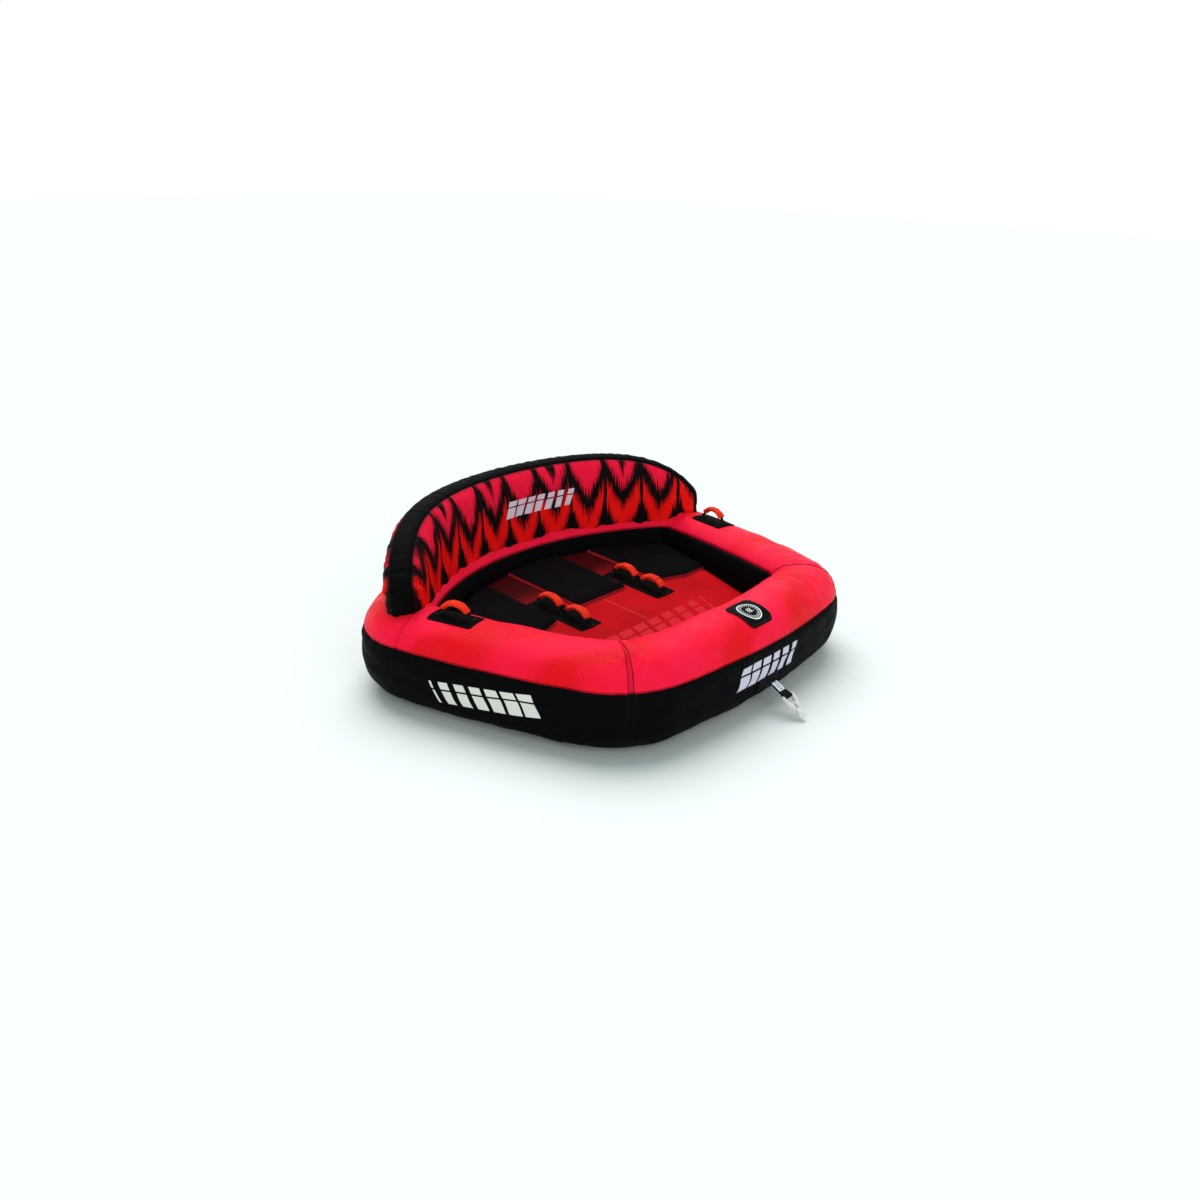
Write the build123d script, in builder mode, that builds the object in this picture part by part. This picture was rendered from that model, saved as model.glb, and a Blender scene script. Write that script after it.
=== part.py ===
from build123d import *
from math import asin, atan2, cos, degrees, radians, sin, sqrt
import os

os.makedirs("parts", exist_ok=True)

# Millimetres. +Z up, -Y the towed front, +X a seated rider's left-hand side.
# Ring tube: plan centreline as arcs (radius, turn in degrees) run clockwise from the
# middle of the back to the middle of the front; the last arc closes the half at x = 0.
SHIFT_Y = 105.3
RING_BACK_Y = 601.0 + SHIFT_Y
RING_ARCS = [(1350.0, 34.8), (165.0, 65.8), (4040.0, 9.8), (210.0, 60.9)]
TUBE_W = 321.0
TUBE_H = 364.2
TUBE_R = 148.0
TUBE_Z = 2.3 + TUBE_H / 2
SKIN = 1.5
GAP = 0.3
OUTER_SEAM = (152.5, 256.0)
INNER_SEAM = (-126.0, 312.6)

# Floor: raked plane, higher at the back.
FLOOR_Z = 217.0
FLOOR_RAKE = 5.19
FLOOR_OFFSET = -162.5
BOTTOM_T = 2.0
PAD_T = 25.0
PATCH_T = 4.0

# Backrest: plan arc and arch outline over its half angle.
BACK_R = 1286.0
BACK_Y = -700.4 + SHIFT_Y
BACK_HALF = 45.2
BACK_FIT = 47.2
BACK_H = 304.0
BACK_LEAN = 5.0
BACK_Z = 350.7
BACK_W = 88.0
BULGE = 33.0
FOOT = 75.0
STATIONS = [-1.0, -0.965, -0.9, -0.78, -0.57, -0.3, 0.0, 0.3, 0.57, 0.78, 0.9, 0.965, 1.0]

# Handles.
ARCH_HALF = 62.0
ARCH_RISE = 40.0
ARCH_FOOT = 10.5
LUG_R = 4.0
GRIP_W = 38.0
GRIP_H = 19.0

# Tow gear.
TOW_Z = 122.0
TOW_HALF_TURN = 1.6
TOW_DROP = 30.0
TOW_REACH = 92.0
TOW_W = 46.0
TOW_T = 4.0
CLIP_DROP = 38.0
CLIP_NOSE = 80.0
CLIP_W = 66.0
CLIP_T = 22.0
NOSE_R = 20.0
NOSE_T = 26.0
BAR_R = 4.5


def ring_segments():
    """Arcs of the right half as (centre x, centre y, radius, heading in, heading out)."""
    out = []
    x, y, heading = 0.0, RING_BACK_Y, 0.0
    for radius, turn in RING_ARCS:
        cx = x - radius * sin(radians(heading))
        cy = y - radius * cos(radians(heading))
        out.append((cx, cy, radius, heading, heading + turn))
        heading += turn
        x = cx + radius * sin(radians(heading))
        y = cy + radius * cos(radians(heading))
    radius = x / sin(radians(180 - heading))
    cx = x - radius * sin(radians(heading))
    cy = y - radius * cos(radians(heading))
    out.append((cx, cy, radius, heading, 180.0))
    return out


SEGMENTS = ring_segments()
REAR_SEAM = SEGMENTS[1][4]
FRONT_SEAM = (SEGMENTS[3][3] + SEGMENTS[3][4]) / 2
FRONT = SEGMENTS[4]
RING_FRONT_Y = FRONT[1] - FRONT[2]


def ring_point(segment, heading, offset=0.0):
    reach = segment[2] + offset
    return (segment[0] + reach * sin(radians(heading)), segment[1] + reach * cos(radians(heading)))


def ring_spans(start, stop):
    """The arcs between two headings, clipped to them."""
    out = []
    for segment in SEGMENTS:
        low, high = max(start, segment[3]), min(stop, segment[4])
        if high - low > 1e-6:
            out.append((segment, low, high))
    return out


def ring_frame(heading):
    """Section plane: local x outward, local y up."""
    segment = ring_spans(max(heading - 0.01, 0), heading + 0.01)[0][0]
    x, y = ring_point(segment, heading)
    out = (sin(radians(heading)), cos(radians(heading)), 0)
    along = (cos(radians(heading)), -sin(radians(heading)), 0)
    return Plane(origin=(x, y, 0), x_dir=out, z_dir=along)


def ring_sweep(label, start, stop, profile, mirrored=True, hole=None):
    """A node swept round the ring between two headings, mirrored if symmetric, with a valve hole."""
    with BuildPart() as piece:
        with BuildLine() as path:
            for segment, low, high in ring_spans(start, stop):
                points = [ring_point(segment, h) for h in (low, (low + high) / 2, high)]
                ThreePointArc(*points)
        with BuildSketch(ring_frame(start)):
            profile()
        sweep(path=path.line)
        if mirrored:
            mirror(about=Plane.YZ)
        if hole:
            pocket(*hole)
    piece.part.label = label
    return piece


def oval(grow, mode=Mode.ADD):
    with Locations((0, TUBE_Z)):
        RectangleRounded(TUBE_W + 2 * grow, TUBE_H + 2 * grow, TUBE_R + grow, mode=mode)


def keep(points):
    with BuildLine() as rim:
        Polyline(*points, close=True)
    make_face(rim.edges(), mode=Mode.INTERSECT)


def beyond(seam):
    return (2 * seam[0], TUBE_Z + 2 * (seam[1] - TUBE_Z))


def top_profile():
    oval(0)
    oval(-SKIN, Mode.SUBTRACT)
    keep([(0, TUBE_Z), beyond(OUTER_SEAM), (600, 900), (-600, 900), beyond(INNER_SEAM)])


def outer_profile():
    oval(0)
    oval(-SKIN, Mode.SUBTRACT)
    keep([(0, TUBE_Z), beyond(OUTER_SEAM), (600, 300), (600, -300), (0, -300)])


def inner_profile():
    oval(0)
    oval(-SKIN, Mode.SUBTRACT)
    keep([(0, TUBE_Z), beyond(INNER_SEAM), (-600, 440), (-600, 110), (0, 110)])


def bladder_profile():
    oval(-SKIN - GAP)


def whole_profile():
    oval(0)


def plan_outline(offset, shift=0.0):
    """Closed plan outline at an offset from the ring centreline."""
    with BuildLine() as rim:
        for segment, low, high in ring_spans(0, 180):
            points = [ring_point(segment, h, offset) for h in (low, (low + high) / 2, high)]
            for side in (1, -1):
                ThreePointArc(*[(side * p[0], p[1] - shift) for p in points])
    make_face(rim.edges())


def floor_plane(lift):
    normal = (0, -sin(radians(FLOOR_RAKE)), cos(radians(FLOOR_RAKE)))
    origin = Vector(0, SHIFT_Y, FLOOR_Z) + Vector(*normal) * lift
    return Plane(origin=origin, x_dir=(1, 0, 0), z_dir=normal)


def turned(point, angle):
    c, s = cos(radians(angle)), sin(radians(angle))
    return (point[0] * c - point[1] * s, point[0] * s + point[1] * c)


nodes = []

# ---- ring ----
ring_solid = ring_sweep("ring_solid", 0, 180, whole_profile)

flap_c = 45.0
flap_tilt = degrees(asin((flap_c - (TUBE_W / 2 - TUBE_R)) / TUBE_R))
flap_y = RING_FRONT_Y - (TUBE_W / 2 - TUBE_R) - TUBE_R * sin(radians(flap_tilt))
flap_z = TUBE_Z + TUBE_H / 2 - TUBE_R + TUBE_R * cos(radians(flap_tilt))
flap_normal = (0, -sin(radians(flap_tilt)), cos(radians(flap_tilt)))
valve_plane = Plane(origin=(0, flap_y, flap_z), x_dir=(1, 0, 0), z_dir=flap_normal)

back_valve_z = 432.0
back_valve_plane = Plane(
    origin=(0, BACK_Y + BACK_R + BACK_W / 2 + 26.0, back_valve_z), x_dir=(-1, 0, 0), z_dir=(0, 1, 0)
)
floor_valve_plane = Plane(origin=(0, 300, 3.0), x_dir=(1, 0, 0), z_dir=(0, 0, -1))

VALVE_R = 30.0
VALVE_DEEP = 36.0
CAP_R = 20.0


def valve(name, plane, sunk):
    """Two-piece inflation valve: flanged body with a seat, and the screw cap in it."""
    with BuildPart() as body:
        with BuildSketch(plane.offset(-sunk)):
            Circle(VALVE_R)
        extrude(amount=-VALVE_DEEP)
        with BuildSketch(plane.offset(-sunk)):
            Circle(CAP_R + 0.4)
        extrude(amount=-9, mode=Mode.SUBTRACT)
        with BuildSketch(plane.offset(-sunk)):
            Circle(11)
        extrude(amount=-VALVE_DEEP, mode=Mode.SUBTRACT)
    body.part.label = name + "_body"
    with BuildPart() as cap:
        with BuildSketch(plane.offset(-sunk - 0.6)):
            Circle(CAP_R)
        extrude(amount=-8)
        with BuildSketch(plane.offset(-sunk - 0.6)):
            Rectangle(30, 12)
            Rectangle(30, 3, mode=Mode.SUBTRACT)
        extrude(amount=-4, mode=Mode.SUBTRACT)
        with BuildSketch(plane.offset(-sunk - 8.6)):
            Circle(10.6)
        extrude(amount=-6)
    cap.part.label = name + "_cap"
    return [body, cap]


def pocket(plane, sunk, radius=VALVE_R):
    with BuildSketch(plane.offset(20)) as mouth:
        Circle(radius)
    extrude(mouth.sketch, amount=-20 - sunk - VALVE_DEEP, mode=Mode.SUBTRACT)


valves = valve("ring_valve", valve_plane, 3.0)
valves += valve("backrest_valve", back_valve_plane, 0.0)
valves += valve("floor_valve", floor_valve_plane, 0.0)
nodes += valves

nodes.append(ring_sweep("ring_bladder", 0, 180, bladder_profile, hole=(valve_plane, 3.0)))
nodes.append(ring_sweep("cover_top_front", FRONT_SEAM, 180, top_profile, hole=(valve_plane, 3.0)))
top_left = ring_sweep("cover_top_left", REAR_SEAM, FRONT_SEAM, top_profile, mirrored=False)
nodes.append(top_left)
with BuildPart() as top_right:
    add(top_left.part)
    mirror(about=Plane.YZ, mode=Mode.REPLACE)
top_right.part.label = "cover_top_right"
nodes.append(top_right)
nodes.append(ring_sweep("cover_top_back", 0, REAR_SEAM, top_profile))
nodes.append(ring_sweep("cover_outer_band", 0, 180, outer_profile))
nodes.append(ring_sweep("cover_inner_wall", 0, 180, inner_profile))

with BuildPart() as cover_bottom:
    with BuildSketch():
        plan_outline(52.0)
    extrude(amount=BOTTOM_T)
cover_bottom.part.label = "cover_bottom"
nodes.append(cover_bottom)

# ---- floor ----
with BuildPart() as floor_bladder:
    with BuildSketch(Plane.XY.offset(BOTTOM_T + GAP)):
        plan_outline(FLOOR_OFFSET)
    extrude(amount=400)
    split(bisect_by=floor_plane(-SKIN - GAP), keep=Keep.BOTTOM)
    pocket(floor_valve_plane, 0.0)
floor_bladder.part.label = "floor_bladder"
nodes.append(floor_bladder)

with BuildPart() as floor_cover:
    with BuildSketch(Plane.XY.offset(BOTTOM_T + GAP)):
        plan_outline(FLOOR_OFFSET)
    extrude(amount=400)
    split(bisect_by=floor_plane(0), keep=Keep.BOTTOM)
    split(bisect_by=floor_plane(-SKIN), keep=Keep.TOP)
floor_cover.part.label = "floor_cover"
nodes.append(floor_cover)


SIDE_SEAT = [(320, 600), (320, -20), (470, -66), (900, -66), (900, 600)]
for side, word in ((1, "left"), (-1, "right")):
    with BuildPart() as seat:
        with BuildSketch(floor_plane(0)) as plan:
            plan_outline(FLOOR_OFFSET, SHIFT_Y)
            offset(amount=-14, mode=Mode.REPLACE)
            with BuildLine():
                Polyline(*[(side * x, y) for x, y in SIDE_SEAT], close=True)
            make_face(mode=Mode.INTERSECT)
            fillet(plan.vertices(), 12)
        extrude(amount=PAD_T)
    seat.part.label = "seat_pad_" + word
    nodes.append(seat)

with BuildPart() as seat_middle:
    with BuildSketch(floor_plane(0)) as plan:
        plan_outline(FLOOR_OFFSET, SHIFT_Y)
        offset(amount=-14, mode=Mode.REPLACE)
        with Locations((0, 316)):
            Rectangle(304, 600, mode=Mode.INTERSECT)
        fillet(plan.vertices(), 12)
    extrude(amount=PAD_T)
seat_middle.part.label = "seat_pad_middle"
nodes.append(seat_middle)


# ---- handles ----
def arch_wire(angle_trim):
    """Arch of a handle in a plane whose local x runs foot to foot and local y is up."""
    radius = (ARCH_HALF**2 + ARCH_RISE**2) / (2 * ARCH_RISE)
    centre = ARCH_FOOT + ARCH_RISE - radius
    reach = degrees(asin(ARCH_HALF / radius)) - angle_trim
    with BuildLine() as wire:
        CenterArc((0, centre), radius, 90 - reach, 2 * reach)
    return wire


def handle(name, plane):
    """One handle: folded webbing strap and the fabric sleeve on it. plane: z up, x along it."""
    upright = Plane(origin=plane.origin, x_dir=plane.x_dir, z_dir=-plane.y_dir)
    made = []
    for part, trim, wide, thick in (("_strap", 0.0, 12.0, 6.0), ("_grip", 14.0, GRIP_W, GRIP_H)):
        wire = arch_wire(trim).line.moved(upright.location)
        start = Plane(origin=wire @ 0, x_dir=plane.y_dir, z_dir=wire % 0)
        with BuildPart() as piece:
            with BuildSketch(start):
                if part == "_strap":
                    RectangleRounded(wide, thick, 2.9)
                else:
                    Ellipse(wide / 2, thick / 2)
                    RectangleRounded(12.0, 6.0, 2.9, mode=Mode.SUBTRACT)
            sweep(path=wire)
        piece.part.label = name + part
        made.append(piece)
    return made


def anchors(name, plane, places):
    """Flat webbing ends sewn to the pad, each with a rolled loop on the handle's fold line."""
    with BuildPart() as tabs:
        for x, long in places:
            with BuildSketch(plane) as flat:
                with Locations((x, 0)):
                    RectangleRounded(20, 38, 2)
            extrude(flat.sketch, amount=2.5)
            across = Plane(origin=plane.from_local_coords((x - long / 2, 0, 0)), x_dir=plane.y_dir, z_dir=plane.x_dir)
            with BuildSketch(across) as roll:
                with Locations((0, ARCH_FOOT)):
                    Circle(LUG_R)
                with Locations((0, ARCH_FOOT / 2)):
                    Rectangle(5, ARCH_FOOT)
            extrude(roll.sketch, amount=long)
    tabs.part.label = name
    return tabs


for side, word in ((1, "left"), (-1, "right")):
    centre = (side * 242.0, 19.5)
    with BuildPart() as patch:
        with BuildSketch(floor_plane(0)):
            with Locations(centre):
                RectangleRounded(124, 303, 10)
        extrude(amount=PATCH_T)
    patch.part.label = "floor_handle_pad_" + word
    nodes.append(patch)
    top = floor_plane(PATCH_T)
    origin = top.from_local_coords((centre[0], centre[1], 0))
    lengthwise = Plane(origin=origin, x_dir=top.y_dir, z_dir=top.z_dir)
    for along, place in ((-72.0, "front"), (72.0, "rear")):
        here = Plane(
            origin=lengthwise.from_local_coords((along, 0, 0)), x_dir=lengthwise.x_dir, z_dir=lengthwise.z_dir
        )
        nodes += handle("floor_handle_" + word + "_" + place, here)
    nodes.append(anchors("floor_handle_tabs_" + word, lengthwise, [(-141.2, 6), (0, 12), (141.2, 6)]))

side_segment = SEGMENTS[2]
side_heading = (side_segment[3] + side_segment[4]) / 2 - 2.66
for side, word in ((1, "left"), (-1, "right")):
    x, y = ring_point(side_segment, side_heading, 4.0)
    along = (side * cos(radians(side_heading)), -sin(radians(side_heading)), 0)
    top = Plane(origin=(side * x, y, TUBE_Z + TUBE_H / 2), x_dir=along, z_dir=(0, 0, 1))
    with BuildPart() as patch:
        with BuildSketch(top.offset(-40)):
            RectangleRounded(190, 104, 12)
        extrude(amount=40 + PATCH_T)
        add(ring_solid.part, mode=Mode.SUBTRACT)
    patch.part.label = "side_handle_pad_" + word
    nodes.append(patch)
    seat_top = top.offset(PATCH_T)
    nodes += handle("side_handle_" + word, seat_top)
    nodes.append(anchors("side_handle_tabs_" + word, seat_top, [(-69.2, 6), (69.2, 6)]))


# ---- backrest ----
def arch_height(u):
    """Height of the arch at a share u of the half angle."""
    return BACK_H * (1 - abs(u * BACK_HALF / BACK_FIT) ** 5.4) ** 0.727


def back_frame(u):
    """Section plane: local x outward from the riders, local y up along the lean."""
    angle = radians(u * BACK_HALF)
    lean = radians(BACK_LEAN)
    x, y = sin(angle), cos(angle)
    origin = (BACK_R * x, BACK_Y + BACK_R * y, BACK_Z)
    return Plane(origin=origin, x_dir=(x * cos(lean), y * cos(lean), -sin(lean)), z_dir=(y, -x, 0))


def back_section(u, half, swell, drop):
    """Cushion section: flat top, swollen front and back, foot run down into the ring."""
    tall = arch_height(u) - drop
    full = swell + BULGE * tall / BACK_H
    with BuildLine() as rim:
        Line((-half, tall), (half, tall))
        ThreePointArc((half, tall), (half + full, tall * 0.42), (half + 6, -FOOT))
        Line((half + 6, -FOOT), (-half - 6, -FOOT))
        ThreePointArc((-half - 6, -FOOT), (-half - full, tall * 0.42), (-half, tall))
    make_face(rim.edges())


def back_loft(half, swell, low, drop):
    sections = []
    for u in STATIONS:
        with BuildSketch(back_frame(u * low)) as section:
            back_section(u * low, half, swell, drop)
        sections.append(section.sketch.face())
    loft(sections)


with BuildPart() as cushion:
    back_loft(BACK_W / 2 - SKIN, 0.0, 0.998, SKIN)
    add(ring_solid.part, mode=Mode.SUBTRACT)
    pocket(back_valve_plane, 0.0)
cushion.part.label = "backrest_bladder"
nodes.append(cushion)

with BuildPart() as cushion_out:
    back_loft(BACK_W / 2, 0.0, 1.0, 0.0)
    add(ring_solid.part, mode=Mode.SUBTRACT)
    pocket(back_valve_plane, 0.0)


def crust(name, near, far):
    """Fabric between bladder and cushion outside, kept between two leaning cones."""
    lean = 900 * sin(radians(BACK_LEAN))
    with BuildPart() as piece:
        add(cushion_out.part)
        add(cushion.part, mode=Mode.SUBTRACT)
        with BuildSketch(Plane(origin=(0, BACK_Y, BACK_Z), x_dir=(0, 1, 0), z_dir=(1, 0, 0))) as band:
            with BuildLine() as rim:
                low, high = (near - lean, far - lean), (near + lean, far + lean)
                corners = [(low[0], -900), (low[1], -900), (high[1], 900), (high[0], 900)]
                Polyline(*[(BACK_R + x, y) for x, y in corners], close=True)
            make_face(rim.edges())
        revolve(band.sketch, axis=Axis((0, BACK_Y, 0), (0, 0, 1)), mode=Mode.INTERSECT)
    piece.part.label = name
    return piece


nodes.append(crust("backrest_front_panel", -400, -BACK_W / 2))
nodes.append(crust("backrest_gusset", -BACK_W / 2, BACK_W / 2))
nodes.append(crust("backrest_back_panel", BACK_W / 2, 400))

# ---- tow gear ----
def patch_profile():
    oval(2.0)
    oval(0, Mode.SUBTRACT)
    keep([(60, 66), (400, 66), (400, 178), (60, 178)])


nodes.append(ring_sweep("tow_patch", 180 - TOW_HALF_TURN, 180, patch_profile))

low_corner = TUBE_Z - TUBE_H / 2 + TUBE_R
tow_reach = TUBE_W / 2 - TUBE_R + sqrt(TUBE_R**2 - (low_corner - TOW_Z) ** 2)
tow_y = RING_FRONT_Y - tow_reach - 2.0 - 4.0
bar_y = tow_y - TOW_REACH * cos(radians(TOW_DROP))
bar_z = TOW_Z - TOW_REACH * sin(radians(TOW_DROP))
LOOP_R = BAR_R + GAP + 3.0

# Strap: local x runs from the fold at the ring to the connector's bar.
strap_plane = Plane(
    origin=(0, tow_y, TOW_Z),
    x_dir=(0, -cos(radians(TOW_DROP)), -sin(radians(TOW_DROP))),
    z_dir=(1, 0, 0),
)
with BuildPart() as tow_strap:
    with BuildSketch(strap_plane):
        Circle(3)
        with Locations((TOW_REACH / 2, 0)):
            Rectangle(TOW_REACH, TOW_T)
        with Locations((TOW_REACH, 0)):
            Circle(LOOP_R)
            Circle(BAR_R + GAP, mode=Mode.SUBTRACT)
    extrude(amount=TOW_W / 2, both=True)
tow_strap.part.label = "tow_strap"
nodes.append(tow_strap)

with BuildPart() as tow_tag:
    with BuildSketch(strap_plane):
        with Locations((40, -TOW_T / 2 - 0.5)):
            Rectangle(44, 1.0)
    extrude(amount=19, both=True)
tow_tag.part.label = "tow_tag"
nodes.append(tow_tag)

drop = radians(CLIP_DROP)
clip_plane = Plane(origin=(0, bar_y, bar_z), x_dir=(1, 0, 0), z_dir=(0, sin(drop), -cos(drop)))
CLIP_OUTLINE = [(33, -9), (33, 24), (21, 58), (17, 80), (-17, 80), (-21, 58), (-33, 24), (-33, -9)]
with BuildPart() as tow_connector:
    with BuildSketch(clip_plane.offset(-CLIP_T / 2)):
        with BuildLine():
            Polyline(*CLIP_OUTLINE, close=True)
        make_face()
        with Locations((0, 4)):
            Rectangle(50, 44, mode=Mode.SUBTRACT)
        with Locations((0, 45)):
            RectangleRounded(22, 26, 4, mode=Mode.SUBTRACT)
    extrude(amount=CLIP_T)
    with BuildSketch(Plane(origin=clip_plane.from_local_coords((-30, 0, 0)), z_dir=(1, 0, 0))):
        Circle(BAR_R)
    extrude(amount=60)
    with BuildSketch(clip_plane.offset(-NOSE_T / 2)):
        with Locations((0, CLIP_NOSE)):
            Circle(NOSE_R)
    extrude(amount=NOSE_T)
tow_connector.part.label = "tow_connector"
nodes.append(tow_connector)

# ---- valve flap ----
FLAP_BACK = -20.0
FLAP_ANGLE = 41.0


def flap_profile():
    oval(3.5)
    oval(0.5, Mode.SUBTRACT)
    cx, cz = TUBE_W / 2 - TUBE_R, TUBE_Z + TUBE_H / 2 - TUBE_R
    far = (cx + 400 * sin(radians(FLAP_ANGLE)), cz + 400 * cos(radians(FLAP_ANGLE)))
    keep([(FLAP_BACK, cz), (FLAP_BACK, 520), far, (cx, cz)])


flap = ring_sweep("valve_flap", 180 - 1.33, 180, flap_profile)
with BuildPart() as valve_flap:
    add(flap.part)
    with BuildSketch(valve_plane.offset(-60)) as rounded:
        with Locations((0, 1.0)):
            RectangleRounded(150, 138, 26)
    extrude(rounded.sketch, amount=120, mode=Mode.INTERSECT)
valve_flap.part.label = "valve_flap"
nodes.append(valve_flap)

# ---- zip under the backrest ----
ZIP_TURN = 20.0
ZIP_Z = 165.0


def zip_profile():
    with Locations((TUBE_W / 2 + 0.5, ZIP_Z)):
        Rectangle(1.0, 28)


nodes.append(ring_sweep("zip_tape", 0, ZIP_TURN, zip_profile))
slider_plane = ring_frame(ZIP_TURN - 1.5)
with BuildPart() as zip_slider:
    with BuildSketch(slider_plane.offset(-7)):
        with Locations((TUBE_W / 2 + 1.0 + GAP + 3, ZIP_Z)):
            RectangleRounded(6, 11, 1.5)
    extrude(amount=14)
    with BuildSketch(slider_plane.offset(-1.2)):
        with Locations((TUBE_W / 2 + 1.0 + GAP + 5.5, ZIP_Z - 14)):
            RectangleRounded(3, 34, 1.4)
    extrude(amount=2.4)
zip_slider.part.label = "zip_slider"
nodes.append(zip_slider)

for node in nodes:
    export_step(node.part, "parts/" + node.part.label + ".step")
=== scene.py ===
import math

import bmesh
import bpy
import numpy as np
from mathutils import Matrix, Vector


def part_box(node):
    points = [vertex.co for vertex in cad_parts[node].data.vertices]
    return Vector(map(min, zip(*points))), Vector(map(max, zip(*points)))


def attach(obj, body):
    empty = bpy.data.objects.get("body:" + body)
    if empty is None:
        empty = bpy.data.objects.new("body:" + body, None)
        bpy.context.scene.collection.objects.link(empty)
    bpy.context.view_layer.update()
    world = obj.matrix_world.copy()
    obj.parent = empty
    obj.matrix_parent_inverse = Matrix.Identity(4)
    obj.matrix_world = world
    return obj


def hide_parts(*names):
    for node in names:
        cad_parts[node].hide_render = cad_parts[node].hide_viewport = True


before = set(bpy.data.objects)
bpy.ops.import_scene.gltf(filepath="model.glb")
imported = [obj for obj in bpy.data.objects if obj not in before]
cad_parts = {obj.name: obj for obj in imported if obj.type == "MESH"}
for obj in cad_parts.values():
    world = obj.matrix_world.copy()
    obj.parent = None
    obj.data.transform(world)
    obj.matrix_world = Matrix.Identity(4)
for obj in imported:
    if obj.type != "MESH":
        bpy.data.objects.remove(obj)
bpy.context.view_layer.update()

TAU = 2 * math.pi

# ---------------------------------------------------------------- sizes, in metres
# Ring centreline: arcs (radius, turn in degrees) clockwise from the middle of the back.
RING_ARCS = [(1.350, 34.8), (0.165, 65.8), (4.040, 9.8), (0.210, 60.9)]
TUBE_A = 0.1605                    # half width of the section
TUBE_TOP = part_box("cover_top_back")[1].z
TUBE_Z = (0.0023 + TUBE_TOP) / 2
TUBE_B = TUBE_TOP - TUBE_Z         # half height
TUBE_POWER = 2.37
COVER_LOW = 0.0026                 # the cover stays this far above the ground
OUTER_SEAM = 0.1525                # offset of the red and black seam outside
INNER_SEAM = -0.126                # and inside
RING_BACK_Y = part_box("cover_outer_band")[1].y - TUBE_A

# Floor: raked plane through this height at the reference line.
SHIFT_Y = RING_BACK_Y - 0.601
FLOOR_Z = 0.217
FLOOR_RAKE = math.radians(5.19)

# Backrest: plan arc, arch outline and lean.
BACK_R = 1.286
BACK_Y = -0.7004 + SHIFT_Y
BACK_HALF = math.radians(45.2)
BACK_FIT = math.radians(47.2)
BACK_H = 0.304
BACK_LEAN = math.radians(5.0)
BACK_Z = 0.3507
BACK_HALF_W = 0.044
BACK_BULGE = 0.036

# Handles.
ARCH_HALF = 0.062
ARCH_RISE = 0.040
ARCH_FOOT = 0.0105
GRIP_W = 0.039
GRIP_H = 0.020


# ---------------------------------------------------------------- ring geometry
def ring_segments():
    """Arcs of half the ring, each (centre x, centre y, radius, heading, run), and its length."""
    out, x, y, heading, run = [], 0.0, RING_BACK_Y, 0.0, 0.0
    arcs = [(r, math.radians(a)) for r, a in RING_ARCS]
    for radius, turn in arcs:
        cx, cy = x - radius * math.sin(heading), y - radius * math.cos(heading)
        out.append((cx, cy, radius, heading, run))
        heading += turn
        run += radius * turn
        x, y = cx + radius * math.sin(heading), cy + radius * math.cos(heading)
    radius = x / math.sin(math.pi - heading)
    cx, cy = x - radius * math.sin(heading), y - radius * math.cos(heading)
    out.append((cx, cy, radius, heading, run))
    return out, run + radius * (math.pi - heading)


SEGMENTS, HALF_RUN = ring_segments()
LOOP = 2 * HALF_RUN
REAR_SEAM = SEGMENTS[2][4]
FRONT_SEAM = (SEGMENTS[3][4] + SEGMENTS[4][4]) / 2
REAR_CORNER = (SEGMENTS[1][4] + SEGMENTS[2][4]) / 2


def ring_at(s):
    """Centreline point and outward normal at runs s along the ring, clockwise from the back."""
    s = np.mod(np.asarray(s, float), LOOP)
    left = s > HALF_RUN
    run = np.where(left, LOOP - s, s)
    starts = np.array([seg[4] for seg in SEGMENTS])
    which = np.clip(np.searchsorted(starts, run, side="right") - 1, 0, len(SEGMENTS) - 1)
    cx, cy, radius, h0, r0 = [np.array([seg[k] for seg in SEGMENTS])[which] for k in range(5)]
    h = h0 + (run - r0) / radius
    flip = np.where(left, -1.0, 1.0)
    point = np.stack([flip * (cx + radius * np.sin(h)), cy + radius * np.cos(h)], -1)
    normal = np.stack([flip * np.sin(h), np.cos(h)], -1)
    return point, normal


def section_angle(offset):
    """Angle of the section's superellipse at a horizontal offset on its upper half."""
    share = min(1.0, abs(offset) / TUBE_A) ** (TUBE_POWER / 2)
    angle = math.acos(share)
    return angle if offset >= 0 else math.pi - angle


def section(angle, inset=0.0):
    """Offset, height and normal of the tube section at angles (0 outward, pi/2 up)."""
    c, s = np.cos(angle), np.sin(angle)
    e = 2 / TUBE_POWER
    x = (TUBE_A - inset) * np.sign(c) * np.abs(c) ** e
    z = TUBE_Z + (TUBE_B - inset) * np.sign(s) * np.abs(s) ** e
    nx = np.sign(c) * np.abs(c) ** (2 - e) / TUBE_A
    nz = np.sign(s) * np.abs(s) ** (2 - e) / TUBE_B
    size = np.hypot(nx, nz)
    return x, z, nx / size, nz / size


def even_angles(start, stop, count):
    """Section angles spaced evenly along the surface, with the run along it."""
    dense = np.linspace(start, stop, 800)
    x, z, _, _ = section(dense)
    run = np.concatenate([[0], np.cumsum(np.hypot(np.diff(x), np.diff(z)))])
    even = np.linspace(0, run[-1], count)
    return np.interp(even, run, dense), even


OUTER_ANGLE = section_angle(OUTER_SEAM)
INNER_ANGLE = section_angle(INNER_SEAM)


# ---------------------------------------------------------------- noise made in code
def ripples(s, seed, shortest, longest, count=9):
    """Sum of waves round the ring between two wavelengths, about -1 to 1, closing on itself."""
    rng = np.random.default_rng(seed)
    out = 0
    for _ in range(count):
        wave = math.exp(rng.uniform(math.log(shortest), math.log(longest)))
        turns = round(LOOP / wave)
        out = out + np.cos(TAU * turns * np.asarray(s) / LOOP + rng.uniform(0, TAU))
    return out / math.sqrt(count / 2) / 1.6


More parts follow.
